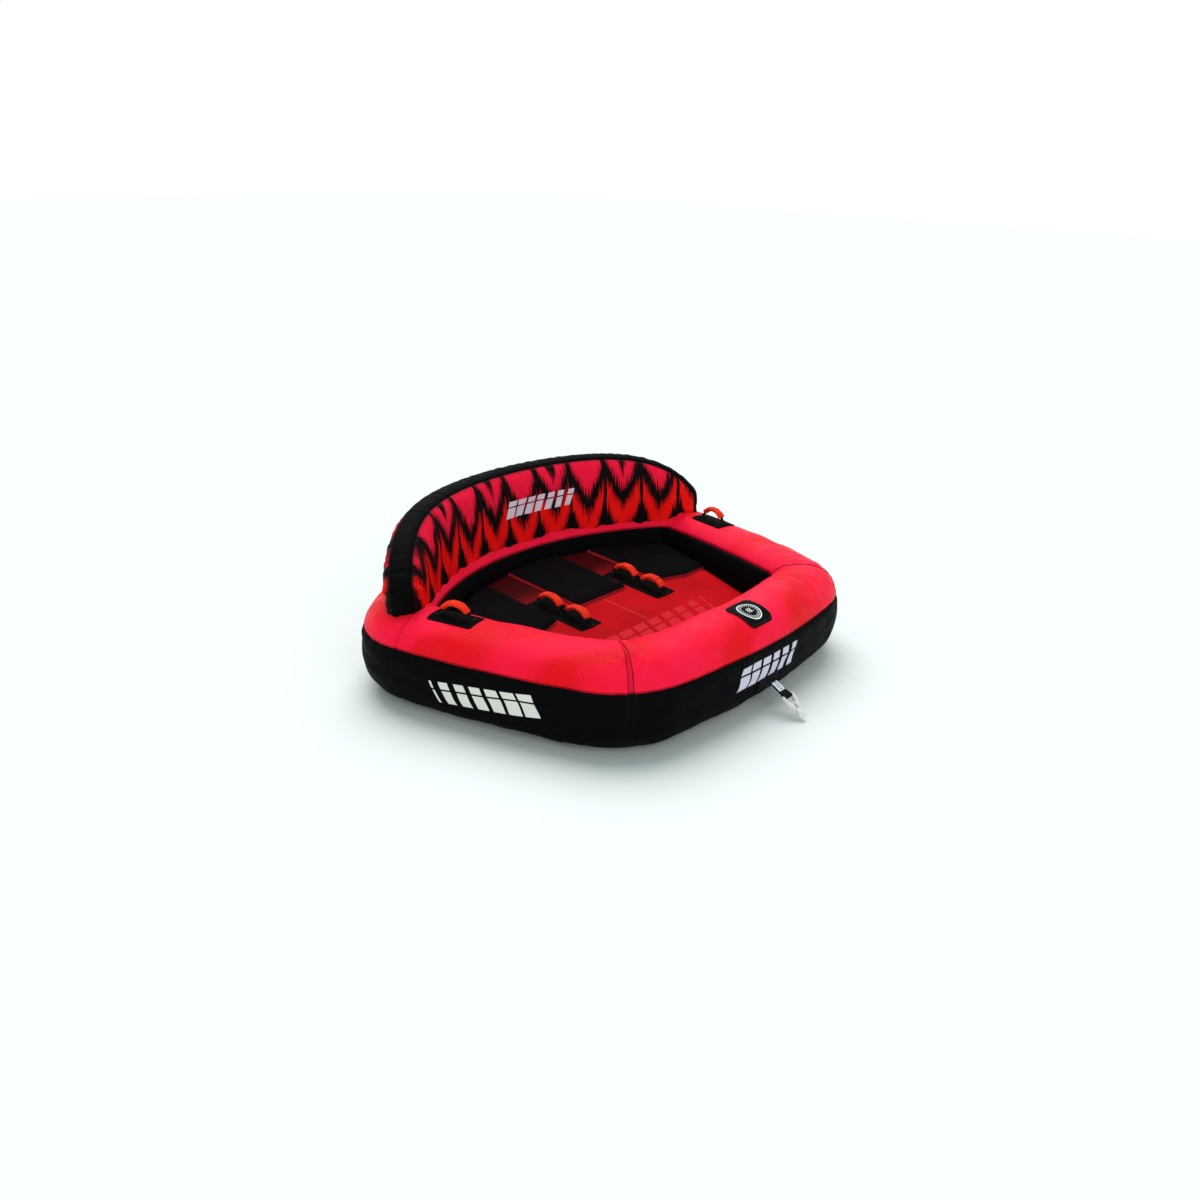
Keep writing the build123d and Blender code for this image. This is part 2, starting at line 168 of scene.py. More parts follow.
def lumps(p, seed, shortest, longest, count=14):
    """Smooth noise in space, about -1 to 1."""
    rng = np.random.default_rng(seed)
    out = 0
    for _ in range(count):
        way = rng.normal(size=3)
        way /= np.linalg.norm(way)
        wave = math.exp(rng.uniform(math.log(shortest), math.log(longest)))
        out = out + np.cos(TAU * (p @ way) / wave + rng.uniform(0, TAU))
    return out / math.sqrt(count / 2) / 1.6


def bell(x, width):
    """Gaussian bump, 1 at x = 0."""
    return np.exp(-((x / width) ** 2))


def away(s, places):
    """Signed run from the nearest of some places round the ring."""
    s = np.asarray(s)
    gaps = np.stack([np.mod(s - p + HALF_RUN, LOOP) - HALF_RUN for p in places])
    pick = np.abs(gaps).argmin(0)
    return np.take_along_axis(gaps, pick[None], 0)[0]


CROSS_SEAMS = [REAR_SEAM, FRONT_SEAM, LOOP - FRONT_SEAM, LOOP - REAR_SEAM]
CORNERS = [REAR_CORNER, FRONT_SEAM, LOOP - FRONT_SEAM, LOOP - REAR_CORNER]


# ---------------------------------------------------------------- mesh helpers
def mesh_object(name, verts, faces, cloth=None, edge=None, smooth=True):
    """A mesh from arrays; cloth and edge are per-point vectors the materials read."""
    mesh = bpy.data.meshes.new(name)
    mesh.from_pydata([tuple(map(float, v)) for v in verts], [], [tuple(map(int, f)) for f in faces])
    for label, values in (("cloth", cloth), ("edge", edge)):
        if values is not None:
            layer = mesh.attributes.new(label, "FLOAT_VECTOR", "POINT")
            layer.data.foreach_set("vector", np.asarray(values, np.float32).ravel())
    if smooth:
        mesh.polygons.foreach_set("use_smooth", [True] * len(mesh.polygons))
    mesh.update()
    obj = bpy.data.objects.new(name, mesh)
    bpy.context.scene.collection.objects.link(obj)
    return obj


def triples(*values):
    """Per-point vectors from three arrays of one shape, where one may be a plain number."""
    return np.stack(np.broadcast_arrays(*values), -1).reshape(-1, 3)


def grid_faces(rows, cols, wrap_rows=False, wrap_cols=False, flip=False):
    """Quads over a grid of points stored row by row."""
    faces = []
    for i in range(rows if wrap_rows else rows - 1):
        for j in range(cols if wrap_cols else cols - 1):
            a, b = i * cols + j, i * cols + (j + 1) % cols
            k = ((i + 1) % rows) * cols
            c, d = k + (j + 1) % cols, k + j
            faces.append((a, d, c, b) if flip else (a, b, c, d))
    return faces


def rim_of(grid):
    """The border of a grid of points or of indices, in order."""
    return np.concatenate([grid[:, 0], grid[-1, 1:], grid[-2::-1, -1], grid[0, -2:0:-1]])


def shell(upper, under, first=0):
    """A closed piece: one grid of points over another, joined round the rim."""
    n = upper.shape[0] * upper.shape[1]
    over = [tuple(first + k for k in f) for f in grid_faces(*upper.shape[:2])]
    faces = over + [tuple(n + k for k in f[::-1]) for f in over]
    rim = first + rim_of(np.arange(n).reshape(upper.shape[:2]))
    faces += [(b, a, n + a, n + b) for a, b in zip(rim, np.roll(rim, -1))]
    return np.concatenate([upper.reshape(-1, 3), under.reshape(-1, 3)]), faces


def lifted(plan, height):
    """Plan points at a height."""
    return np.concatenate([plan, (height + 0 * plan[..., 0])[..., None]], -1)


def gap_to(grid, line):
    """Distance of each plan point of a grid from a line of points, and which of them is nearest."""
    flat = grid.reshape(-1, 2)
    gap, pick = np.empty(len(flat)), np.empty(len(flat), int)
    for k in range(0, len(flat), 4000):
        far = np.hypot(flat[k:k + 4000, None, 0] - line[:, 0], flat[k:k + 4000, None, 1] - line[:, 1])
        pick[k:k + 4000] = far.argmin(1)
        gap[k:k + 4000] = far.min(1)
    return gap.reshape(grid.shape[:2]), pick.reshape(grid.shape[:2])


def open_hole(u, v, middle, radius, inner, outer):
    """Moves grid points round a hole: a square of the grid opens into a round rim."""
    du, dv = u - middle[0], v - middle[1]
    square = np.maximum(np.abs(du), np.abs(dv))
    share = np.clip((square - inner) / (outer - inner), 0, 1)
    reach = radius / np.maximum(np.hypot(du, dv), 1e-9) * (1 - share) + share
    return middle[0] + du * reach, middle[1] + dv * reach, square < inner


def without(gone, faces, *arrays):
    """Drops the faces whose points are all gone, and the points that nothing uses."""
    faces = np.array(faces)
    faces = faces[~gone.ravel()[faces].all(1)]
    used, new = np.unique(faces, return_inverse=True)
    return new.reshape(faces.shape), [a[used] for a in arrays]


def step(x, high, low):
    """1 below high, 0 above low, smooth between."""
    t = np.clip((low - x) / (low - high), 0, 1)
    return t * t * (3 - 2 * t)


def settle(out, mask, level):
    """Brings a relief to a low level where a thin piece lies on the cover."""
    return out * (1 - mask) + level * mask


def dress(obj, material, body, nodes=()):
    """Material, body and the CAD nodes this piece stands for."""
    obj.data.materials.clear()
    obj.data.materials.append(material)
    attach(obj, body)
    if nodes:
        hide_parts(*nodes)
    return obj


def run_along(points):
    """Distance along a polyline at each of its points."""
    return np.concatenate([[0], np.cumsum(np.linalg.norm(np.diff(points, axis=0), axis=1))])


def evenly(points, count):
    """A polyline resampled to evenly spaced points."""
    points = np.asarray(points, float)
    run = run_along(points)
    even = np.linspace(0, run[-1], count)
    return np.stack([np.interp(even, run, points[:, k]) for k in range(points.shape[1])], -1)


# ---------------------------------------------------------------- material helpers
class Wire:
    """A node output that takes part in arithmetic: each operation adds a Math node."""

    def __init__(self, shade, socket):
        self.shade, self.socket = shade, socket

    def __add__(self, other):
        return self.shade.math("ADD", self, other)

    def __radd__(self, other):
        return self.shade.math("ADD", other, self)

    def __sub__(self, other):
        return self.shade.math("SUBTRACT", self, other)

    def __rsub__(self, other):
        return self.shade.math("SUBTRACT", other, self)

    def __mul__(self, other):
        return self.shade.math("MULTIPLY", self, other)

    def __rmul__(self, other):
        return self.shade.math("MULTIPLY", other, self)

    def __truediv__(self, other):
        return self.shade.math("DIVIDE", self, other)

    def __pow__(self, other):
        return self.shade.math("POWER", self, other)

    def __abs__(self):
        return self.shade.math("ABSOLUTE", self)


class Shade:
    """A material and short calls to wire its nodes."""

    def __init__(self, name, rough=0.6, sheen=0.0, specular=0.4, metallic=0.0, coat=0.0):
        self.mat = bpy.data.materials.new(name)
        self.mat.use_nodes = True
        self.tree = self.mat.node_tree
        self.bsdf = self.tree.nodes["Principled BSDF"]
        for socket, value in (
            ("Roughness", rough),
            ("Sheen Weight", sheen),
            ("Specular IOR Level", specular),
            ("Metallic", metallic),
            ("Coat Weight", coat),
        ):
            self.bsdf.inputs[socket].default_value = value

    def node(self, kind, **props):
        made = self.tree.nodes.new(kind)
        for key, value in props.items():
            setattr(made, key, value)
        return made

    def put(self, socket, value):
        if isinstance(value, Wire):
            self.tree.links.new(value.socket, socket)
        elif isinstance(value, (tuple, list)) and len(value) == 3 and socket.type == "RGBA":
            socket.default_value = (*value, 1.0)
        else:
            socket.default_value = value

    def math(self, op, a, b=0.0):
        made = self.node("ShaderNodeMath", operation=op)
        for socket, value in zip(made.inputs, (a, b)):
            self.put(socket, value)
        return Wire(self, made.outputs[0])

    def most(self, *values):
        """The largest of some values."""
        first, *rest = values
        return self.math("MAXIMUM", first, self.most(*rest) if len(rest) > 1 else rest[0])

    def mix(self, fac, a, b):
        made = self.node("ShaderNodeMix", data_type="RGBA")
        self.put(made.inputs[0], fac)
        self.put(made.inputs[6], a)
        self.put(made.inputs[7], b)
        return Wire(self, made.outputs[2])

    def ramp(self, value, low, high, smooth=True):
        """0 below low, 1 above high."""
        made = self.node("ShaderNodeMapRange", interpolation_type="SMOOTHSTEP" if smooth else "LINEAR")
        for socket, given in zip(made.inputs[:5], (value, low, high, 0.0, 1.0)):
            self.put(socket, given)
        return Wire(self, made.outputs[0])

    def split(self, vector):
        made = self.node("ShaderNodeSeparateXYZ")
        self.put(made.inputs[0], vector)
        return [Wire(self, out) for out in made.outputs]

    def join(self, x, y, z=0.0):
        made = self.node("ShaderNodeCombineXYZ")
        for socket, value in zip(made.inputs, (x, y, z)):
            self.put(socket, value)
        return Wire(self, made.outputs[0])

    def read(self, name):
        """The three components of a per-point vector."""
        return self.split(Wire(self, self.node("ShaderNodeAttribute", attribute_name=name).outputs["Vector"]))

    def place(self):
        """Position on the object at rest."""
        return Wire(self, self.node("ShaderNodeTexCoord").outputs["Object"])

    def noise(self, vector, scale, detail=3.0, rough=0.5):
        made = self.node("ShaderNodeTexNoise")
        self.put(made.inputs["Vector"], vector)
        made.inputs["Scale"].default_value = scale
        made.inputs["Detail"].default_value = detail
        made.inputs["Roughness"].default_value = rough
        return Wire(self, made.outputs["Fac"])

    def fold(self, value, period):
        """0 at each multiple of the period, 1 halfway."""
        return self.math("PINGPONG", value / (period / 2), 1.0)

    def weave(self, x, y, pitch):
        """Height of a plain weave of that pitch."""
        a, b = [self.math("SINE", value * (TAU / pitch)) for value in (x, y)]
        return a * b

    def worn(self, scale, low, high, detail=5.0, rough=0.6):
        """Wear as noise, and the black of a fabric that pales with it."""
        wear = self.noise(self.place(), scale, detail, rough)
        return wear, self.mix(self.ramp(wear, low, high), BLACK, WORN_BLACK)

    def woven(self, x, y, pitch=0.0016, fuzz=70.0, strength=0.35):
        """Normal of a plain weave with a little fuzz."""
        return self.bump(self.weave(x, y, pitch) + self.noise(self.place(), fuzz), 0.0004, strength)

    def bump(self, height, distance, strength=1.0, under=None):
        made = self.node("ShaderNodeBump")
        made.inputs["Strength"].default_value = strength
        made.inputs["Distance"].default_value = distance
        self.put(made.inputs["Height"], height)
        if under is not None:
            self.put(made.inputs["Normal"], under)
        return Wire(self, made.outputs[0])

    def done(self, color=None, rough=None, normal=None):
        if color is not None:
            self.put(self.bsdf.inputs["Base Color"], color)
        if rough is not None:
            self.put(self.bsdf.inputs["Roughness"], rough)
        if normal is not None:
            self.put(self.bsdf.inputs["Normal"], normal)
        return self.mat


def stitches(m, across, along, at, pitch=0.006, half=0.0009):
    """Mask of a row of stitches at a distance from a seam."""
    off = abs(across - at)
    line = m.ramp(off, half * 1.4, half * 0.6)
    dash = m.ramp(m.fold(along, pitch), 0.25, 0.4)
    return line * dash


# ---------------------------------------------------------------- cover fabrics
MARK_RUN = 0.104                   # middle of the printed motifs, run down from the outer seam
MARK_TALL = 0.044                  # half their height
SIDE_MARK_FAR = HALF_RUN - 1.370   # how far round from the front the side motifs are centred

SCARLET = (0.90, 0.0045, 0.0070)
PINK_RED = (0.90, 0.0072, 0.044)
DEEP_RED = (0.36, 0.0016, 0.0050)
BLACK = (0.0013, 0.0013, 0.0016)
WORN_BLACK = (0.0042, 0.0042, 0.0048)
PRINT_WHITE = (0.70, 0.69, 0.64)
PRINT_LILAC = (0.60, 0.57, 0.68)


def bars(m, u, v, long, tall, period=0.062, slant=0.42):
    """Generic printed motif: a row of slanted bars that thin out, cut by one level gap."""
    lean = u - v * slant
    inside = m.ramp(abs(lean), long, long - 0.001) * m.ramp(abs(v), tall, tall - 0.001)
    share = lean / (2 * long) + 0.5
    cut = 0.09 + share * 0.36
    wave = m.fold(lean + (10 * period + long), period)
    row = m.ramp(wave - cut, 0.0, 0.035)
    gap = m.ramp(abs(v - tall * 0.3), tall * 0.06, tall * 0.1)
    return inside * row * gap


def red_cover():
    """Printed coated polyester: two reds meeting in fine slanted hatching, sewn edges, painted shade in the
    seam grooves.
    """
    m = Shade("cover_red_print", rough=0.55, specular=0.05)
    s, t, _ = m.read("cloth")
    rim, cross, _ = m.read("edge")
    slant = s + t * 0.85
    drift = m.noise(m.join(s, t * 1.6), 2.1, 2.0)
    band = m.math("SINE", slant * 13.0 + drift * 9.0)
    depth = band * 0.5 + 0.5
    reach = depth + (0.14 - t) * 2.6
    hatch = m.fold(s - t * 1.15, 0.0125)
    ink = m.ramp(reach - hatch, 0.0, 0.35)
    tone = m.mix(ink * 0.9, PINK_RED, SCARLET)
    lines = m.ramp(hatch, 0.5, 0.1) * m.ramp(reach, 0.45, 1.0)
    tone = m.mix(lines * 0.88, tone, DEEP_RED)
    fade = m.noise(m.place(), 5.0, 4.0)
    tone = m.mix(m.ramp(fade, 0.45, 0.85) * 0.6, tone, (0.92, 0.013, 0.07))
    sewn = stitches(m, rim, s, 0.0065, 0.006, 0.0012)
    double = m.ramp(abs(cross - 0.0055), 0.0017, 0.0009)
    dash = 0.55 + m.ramp(m.fold(t, 0.006), 0.2, 0.4) * 0.45
    fore = m.ramp(abs(s - HALF_RUN), 1.1, 1.05)
    double = double * (0.25 + fore * 0.75)
    thread = m.most(sewn, double * dash)
    # Painted shade: the cover darkens to a deep red in the seam grooves at its edges and along the cross
    # seams.
    groove = m.most(m.ramp(rim, 0.01, 0.0), m.ramp(cross, 0.004, 0.0) * 0.4)
    tone = m.mix(groove * 0.75, tone, (0.2, 0.0012, 0.004))
    tone = m.mix(thread * 0.9, tone, (0.03, 0.0015, 0.003))
    grain = m.weave(s, t, 0.0016)
    soft = m.noise(m.place(), 60.0, 3.0)
    low = m.bump(grain + soft * 1.5, 0.0004, 0.35)
    normal = m.bump(thread, 0.0012, 0.7, low)
    rough = m.ramp(m.noise(m.place(), 18.0, 3.0), -0.6, 1.9)
    return m.done(tone, rough, normal)


def black_cover():
    """Black coated polyester with a light weave, scuffed low down, printed on three sides."""
    m = Shade("cover_black", rough=0.65, specular=0.030)
    s, t, printed = m.read("cloth")
    rim, cross, _ = m.read("edge")
    wear = m.noise(m.join(s * 6.0, t * 30.0), 3.0, 5.0, 0.65)
    tone = m.mix(m.ramp(wear, 0.58, 0.86), BLACK, WORN_BLACK)
    thread = m.most(stitches(m, rim, s, 0.006), stitches(m, cross, t, 0.0075))
    tone = m.mix(thread * 0.7, tone, (0.008, 0.008, 0.009))
    down = MARK_RUN - t
    front = s - HALF_RUN
    centre_mark = bars(m, front * -1.0, down - 0.022, 0.19, 0.042)
    far = SIDE_MARK_FAR - abs(front)
    lower = down - far * 0.09
    side_mark = bars(m, far * -1.0, lower, 0.198, MARK_TALL)
    scuff = m.ramp(m.noise(m.join(s * 40.0, t * 40.0), 3.0, 5.0, 0.7), 0.24, 0.34)
    scuff = scuff * printed
    tone = m.mix(centre_mark * scuff, tone, PRINT_LILAC)
    tone = m.mix(side_mark * scuff, tone, PRINT_WHITE)
    marks = m.most(centre_mark, side_mark) * printed
    relief = m.bump(thread + marks * 0.5, 0.001, 0.6, m.woven(s, t, strength=0.3))
    return m.done(tone, m.ramp(wear, -0.9, 1.5), relief)


RED_COVER = red_cover()
BLACK_COVER = black_cover()


# ---------------------------------------------------------------- the ring's cover
def ring_strip(name, start, stop, rows, angles, runs, relief, wrap=False, print_to=0.0, hole=None):
    """Part of the cover between two runs along the ring, pushed out by relief(s, run, point)."""
    s = np.linspace(start, stop, rows, endpoint=not wrap)
    ss, tt = np.meshgrid(s, runs, indexing="ij")
    gone = np.zeros(ss.shape, bool)
    if hole:
        ss, tt, gone = open_hole(ss, tt, *hole)
    point, normal = ring_at(ss)
    c, z, nc, nz = section(np.interp(tt, runs, angles))
    flat = lifted(point + normal * c[..., None], z)
    push = relief(ss, tt, flat)
    flat[..., :2] += normal * (nc * push)[..., None]
    flat[..., 2] = np.maximum(flat[..., 2] + nz * push, COVER_LOW)
    rim = np.minimum(tt, runs[-1] - tt)
    cross = np.abs(away(ss, CROSS_SEAMS))
    cloth = triples(ss, tt, np.abs(ss - HALF_RUN) < print_to)
    edge = triples(rim, cross, 0)
    faces = grid_faces(rows, len(angles), wrap_rows=wrap)
    faces, (verts, cloth, edge) = without(gone, faces, flat.reshape(-1, 3), cloth, edge)
    return mesh_object(name, verts, faces, cloth, edge)


TOP_ANGLES, TOP_RUNS = even_angles(OUTER_ANGLE, INNER_ANGLE, 62)
BAND_ANGLES, BAND_RUNS = even_angles(OUTER_ANGLE, -math.pi / 2 - 0.12, 62)
WALL_ANGLES, WALL_RUNS = even_angles(INNER_ANGLE, math.pi + 0.30, 34)


FLAP_OFF = 0.045                   # the ring valve lies this far outside the ring's centreline
VALVE_T = float(np.interp(section_angle(FLAP_OFF), TOP_ANGLES, TOP_RUNS))
VALVE_HOLE = 0.0288                # radius of the opening round a valve
HOLE_SQUARE = (0.022, 0.056)       # the grid's square that opens, and where it is at rest again
SIDE_PAD_TURN = math.radians(RING_ARCS[2][1] / 2 - 2.66)    # along the side's arc, from its rear end
SIDE_PAD_RUN = REAR_SEAM + SEGMENTS[2][2] * SIDE_PAD_TURN
TOW_PATCH_Z = (0.088, 0.137)       # heights of the tow patch's lower and upper edge
ZIP_HALF = math.radians(20.0) * SEGMENTS[0][2]
ZIP_SLIDER_RUN = math.radians(18.5) * SEGMENTS[0][2]
ZIP_Z = 0.165                      # height of the zip's teeth


def top_relief(ss, tt, flat):
    """Seams drawn in, gathers, folds at the corners, and flat beds under the pads and flap."""
    total = TOP_RUNS[-1]
    inner, outer = total - tt, tt
    corner = bell(away(ss, CORNERS), 0.20)
    cross = away(ss, CROSS_SEAMS)
    out = 0.0026 * lumps(flat, 3, 0.14, 0.40)
    out -= 0.0060 * bell(outer, 0.0060) + 0.0050 * bell(inner, 0.0060)
    out += 0.0011 * ripples(ss, 5, 0.018, 0.045) * np.exp(-outer / 0.020)
    out += 0.0012 * ripples(ss, 6, 0.022, 0.060) * np.exp(-inner / 0.030)
    reach = np.exp(-inner / 0.085) * (1 - np.exp(-inner / 0.01))
    out += 0.0048 * corner * ripples(ss, 7, 0.035, 0.075) * reach
    out -= 0.0050 * bell(cross, 0.0055)
    pucker = lumps(flat * np.array([1, 1, 1.6]), 9, 0.030, 0.080)
    out += 0.0030 * pucker * np.exp(-np.abs(cross) / 0.035) * (1 - bell(cross, 0.006))
    fold = lumps(flat, 12, 0.07, 0.16)
    out += 0.0028 * np.maximum(fold, 0) * (0.35 + corner) * np.sin(np.pi * tt / total)
    off = section(np.interp(tt, TOP_RUNS, TOP_ANGLES))[0]
    along = np.abs(away(ss, [SIDE_PAD_RUN, LOOP - SIDE_PAD_RUN]))
    pads = step(along, 0.098, 0.116) * step(np.abs(off - 0.004), 0.055, 0.070)
    out = settle(out, pads, -0.0010)
    front = np.abs(ss - HALF_RUN)
    flap = step(front, 0.078, 0.094) * step(np.abs(off - FLAP_OFF), 0.070, 0.084)
    out = settle(out, flap, -0.0006)
    return settle(out, step(np.hypot(front, tt - VALVE_T), 0.032, 0.044), -0.0026)


def band_relief(ss, tt, flat):
    """The black band: drawn in at the seam, slacker low down, flat under patch and zip."""
    total = BAND_RUNS[-1]
    out = 0.0030 * lumps(flat * np.array([1, 1, 2.2]), 21, 0.12, 0.40)
    out -= 0.0060 * bell(tt, 0.0060)
    out += 0.0016 * ripples(ss, 22, 0.020, 0.050) * np.exp(-tt / 0.022)
    low = np.clip((tt - 0.55 * total) / (0.4 * total), 0, 1)
    out += 0.0030 * low * lumps(flat * np.array([1, 1, 3.0]), 23, 0.06, 0.16)
    out += 0.0024 * bell(away(ss, CORNERS), 0.22) * ripples(ss, 24, 0.05, 0.12) * low
    low_z, high_z = TOW_PATCH_Z
    level = np.abs(flat[..., 2] - (low_z + high_z) / 2)
    patch = step(np.abs(ss - HALF_RUN), 0.066, 0.085) * step(level, 0.028, 0.040)
    out = settle(out, patch, -0.0004)
    behind = np.abs(np.mod(ss + HALF_RUN, LOOP) - HALF_RUN)
    tape = step(behind, ZIP_HALF + 0.006, ZIP_HALF + 0.030) * step(np.abs(flat[..., 2] - ZIP_Z), 0.015, 0.026)
    return settle(out, tape, -0.0009)


def wall_relief(ss, tt, flat):
    """The inner wall: gathers at the seam, more of them in the corners."""
    out = 0.0024 * lumps(flat, 31, 0.10, 0.30)
    out -= 0.0050 * bell(tt, 0.0060)
    corner = bell(away(ss, CORNERS), 0.16)
    out += (0.0014 + 0.0030 * corner) * ripples(ss, 32, 0.025, 0.070) * np.exp(-tt / 0.06)
    return out


def build_ring():
    """The red panels, the outer band and the inner wall."""
    spans = [
        ("cover_top_back", -REAR_SEAM, REAR_SEAM, 420),
        ("cover_top_left", REAR_SEAM, FRONT_SEAM, 240),
        ("cover_top_front", FRONT_SEAM, LOOP - FRONT_SEAM, 560),
        ("cover_top_right", LOOP - FRONT_SEAM, LOOP - REAR_SEAM, 240),
    ]
    for name, start, stop, rows in spans:
        hole = ((HALF_RUN, VALVE_T), VALVE_HOLE, *HOLE_SQUARE) if name == "cover_top_front" else None
        panel = ring_strip("red_" + name, start, stop, rows, TOP_ANGLES, TOP_RUNS, top_relief, hole=hole)
        dress(panel, RED_COVER, "tube", [name])
    band = ring_strip("black_outer_band", 0, LOOP, 1100, BAND_ANGLES, BAND_RUNS, band_relief, wrap=True,
                      print_to=1.40)
    dress(band, BLACK_COVER, "tube", ["cover_outer_band"])
    wall = ring_strip("black_inner_wall", 0, LOOP, 1000, WALL_ANGLES, WALL_RUNS, wall_relief, wrap=True)
    dress(wall, BLACK_COVER, "tube", ["cover_inner_wall"])


build_ring()


# ---------------------------------------------------------------- camera, light, floor
CAMERA_AZ = -0.8853
CAMERA_EL = 0.3775
CAMERA_ROLL = 0.0334
CAMERA_AWAY = 4.848
CAMERA_AIM = Vector((0.002, SHIFT_Y + 0.0337, 0.2053))
CAMERA_LENS = 35.04
SKY, SUN, FILL = 0.42, 2.65, 1.1   # strengths of the sky, the key light and the fill light


def build_camera():
    """The photo's view, as fitted."""
    ca, sa, ce, se = math.cos(CAMERA_AZ), math.sin(CAMERA_AZ), math.cos(CAMERA_EL), math.sin(CAMERA_EL)
    back = Vector((sa * ce, -ca * ce, se))
    right = Vector((0, 0, 1)).cross(back).normalized()
    up = back.cross(right)
    cr, sr = math.cos(CAMERA_ROLL), math.sin(CAMERA_ROLL)
    x, y = cr * right + sr * up, -sr * right + cr * up
    data = bpy.data.cameras.new("camera")
    data.lens = CAMERA_LENS
    data.sensor_width = 36.0
    camera = bpy.data.objects.new("camera", data)
    turn = Matrix((x, y, back)).transposed().to_4x4()
    camera.matrix_world = Matrix.Translation(CAMERA_AIM + back * CAMERA_AWAY) @ turn
    bpy.context.scene.collection.objects.link(camera)
    bpy.context.scene.camera = camera


def soft_sun(name, way, energy, spread):
    """Light from one direction, softened over a wide angle, so it leaves no edge on the floor."""
    data = bpy.data.lights.new(name, "SUN")
    data.energy, data.angle = energy, math.radians(spread)
    lamp = bpy.data.objects.new(name, data)
    lamp.matrix_world = Vector(way).to_track_quat("Z", "Y").to_matrix().to_4x4()
    bpy.context.scene.collection.objects.link(lamp)


def build_studio():
    """White floor, a sky that pales upward, and two soft suns."""
    m = Shade("studio_floor", rough=0.85, specular=0.1)
    tint = m.mix(m.noise(m.place(), 0.6, 2.0), (0.775, 0.787, 0.785), (0.795, 0.803, 0.802))
    m.done(tint)
    corners = [(-30, -30, 0), (30, -30, 0), (30, 30, 0), (-30, 30, 0)]
    floor = mesh_object("studio_ground", corners, [(0, 1, 2, 3)])
    floor.data.materials.append(m.mat)
    world = bpy.data.worlds.new("studio")
    world.use_nodes = True
    nodes, links = world.node_tree.nodes, world.node_tree.links
    way = nodes.new("ShaderNodeTexCoord")
    split = nodes.new("ShaderNodeSeparateXYZ")
    blend = nodes.new("ShaderNodeMapRange")
    for socket, value in zip(blend.inputs[1:5], (0.10, 0.38, 1.0, SKY)):
        socket.default_value = value
    links.new(way.outputs["Generated"], split.inputs[0])
    links.new(split.outputs[2], blend.inputs[0])
    links.new(blend.outputs[0], nodes["Background"].inputs[1])
    tint = nodes.new("ShaderNodeMix")
    tint.data_type = "RGBA"
    tint.inputs[6].default_value = (0.52, 1.0, 0.94, 1)
    tint.inputs[7].default_value = (1.0, 1.0, 1.0, 1)
    links.new(blend.outputs[0], tint.inputs[0])
    links.new(tint.outputs[2], nodes["Background"].inputs[0])
    bpy.context.scene.world = world
    bpy.context.scene.view_settings.view_transform = "Standard"
    soft_sun("key", (0.30, 0.42, 1.0), SUN, 55)
    soft_sun("fill", (-0.58, -0.78, 0.42), FILL, 60)


build_camera()
build_studio()


# ---------------------------------------------------------------- backrest
COLUMN = 0.19                      # width of one flame of the printed pattern
COLUMN_AT = 0.146                  # where one column boundary lies along the arc
BACK_RUN = BACK_R * BACK_HALF
BACK_FOOT = -0.030                 # the panels go this far below the ring's top
PANEL_INSET = 0.021                # the panels' seams lie inside the rounded gusset
BACK_VALVE_OUT = 0.0626            # the valve's face, out from the backrest's middle
BACK_VALVE_H = 0.0871              # and up the panel
BACK_MARK = (0.15, 0.135)          # middle of the printed motif, along the arc and up the panel
FLAME_TINTS = (0.88, 0.0060, 0.0055), (0.92, 0.0080, 0.050)


def arch_height(u):
    """Height of the arch at a share u of its half angle."""
    return BACK_H * np.maximum(1 - np.abs(u * BACK_HALF / BACK_FIT) ** 5.0, 0.0) ** 0.70


def back_point(run, out, up):
    """Place of a point given its run along the plan arc, offset outward and height."""
    angle = run / BACK_R
    lean_out = out * math.cos(BACK_LEAN) + up * math.sin(BACK_LEAN)
    lean_up = up * math.cos(BACK_LEAN) - out * math.sin(BACK_LEAN)
    reach = BACK_R + lean_out
    return np.stack([reach * np.sin(angle), BACK_Y + reach * np.cos(angle), BACK_Z + lean_up], -1)


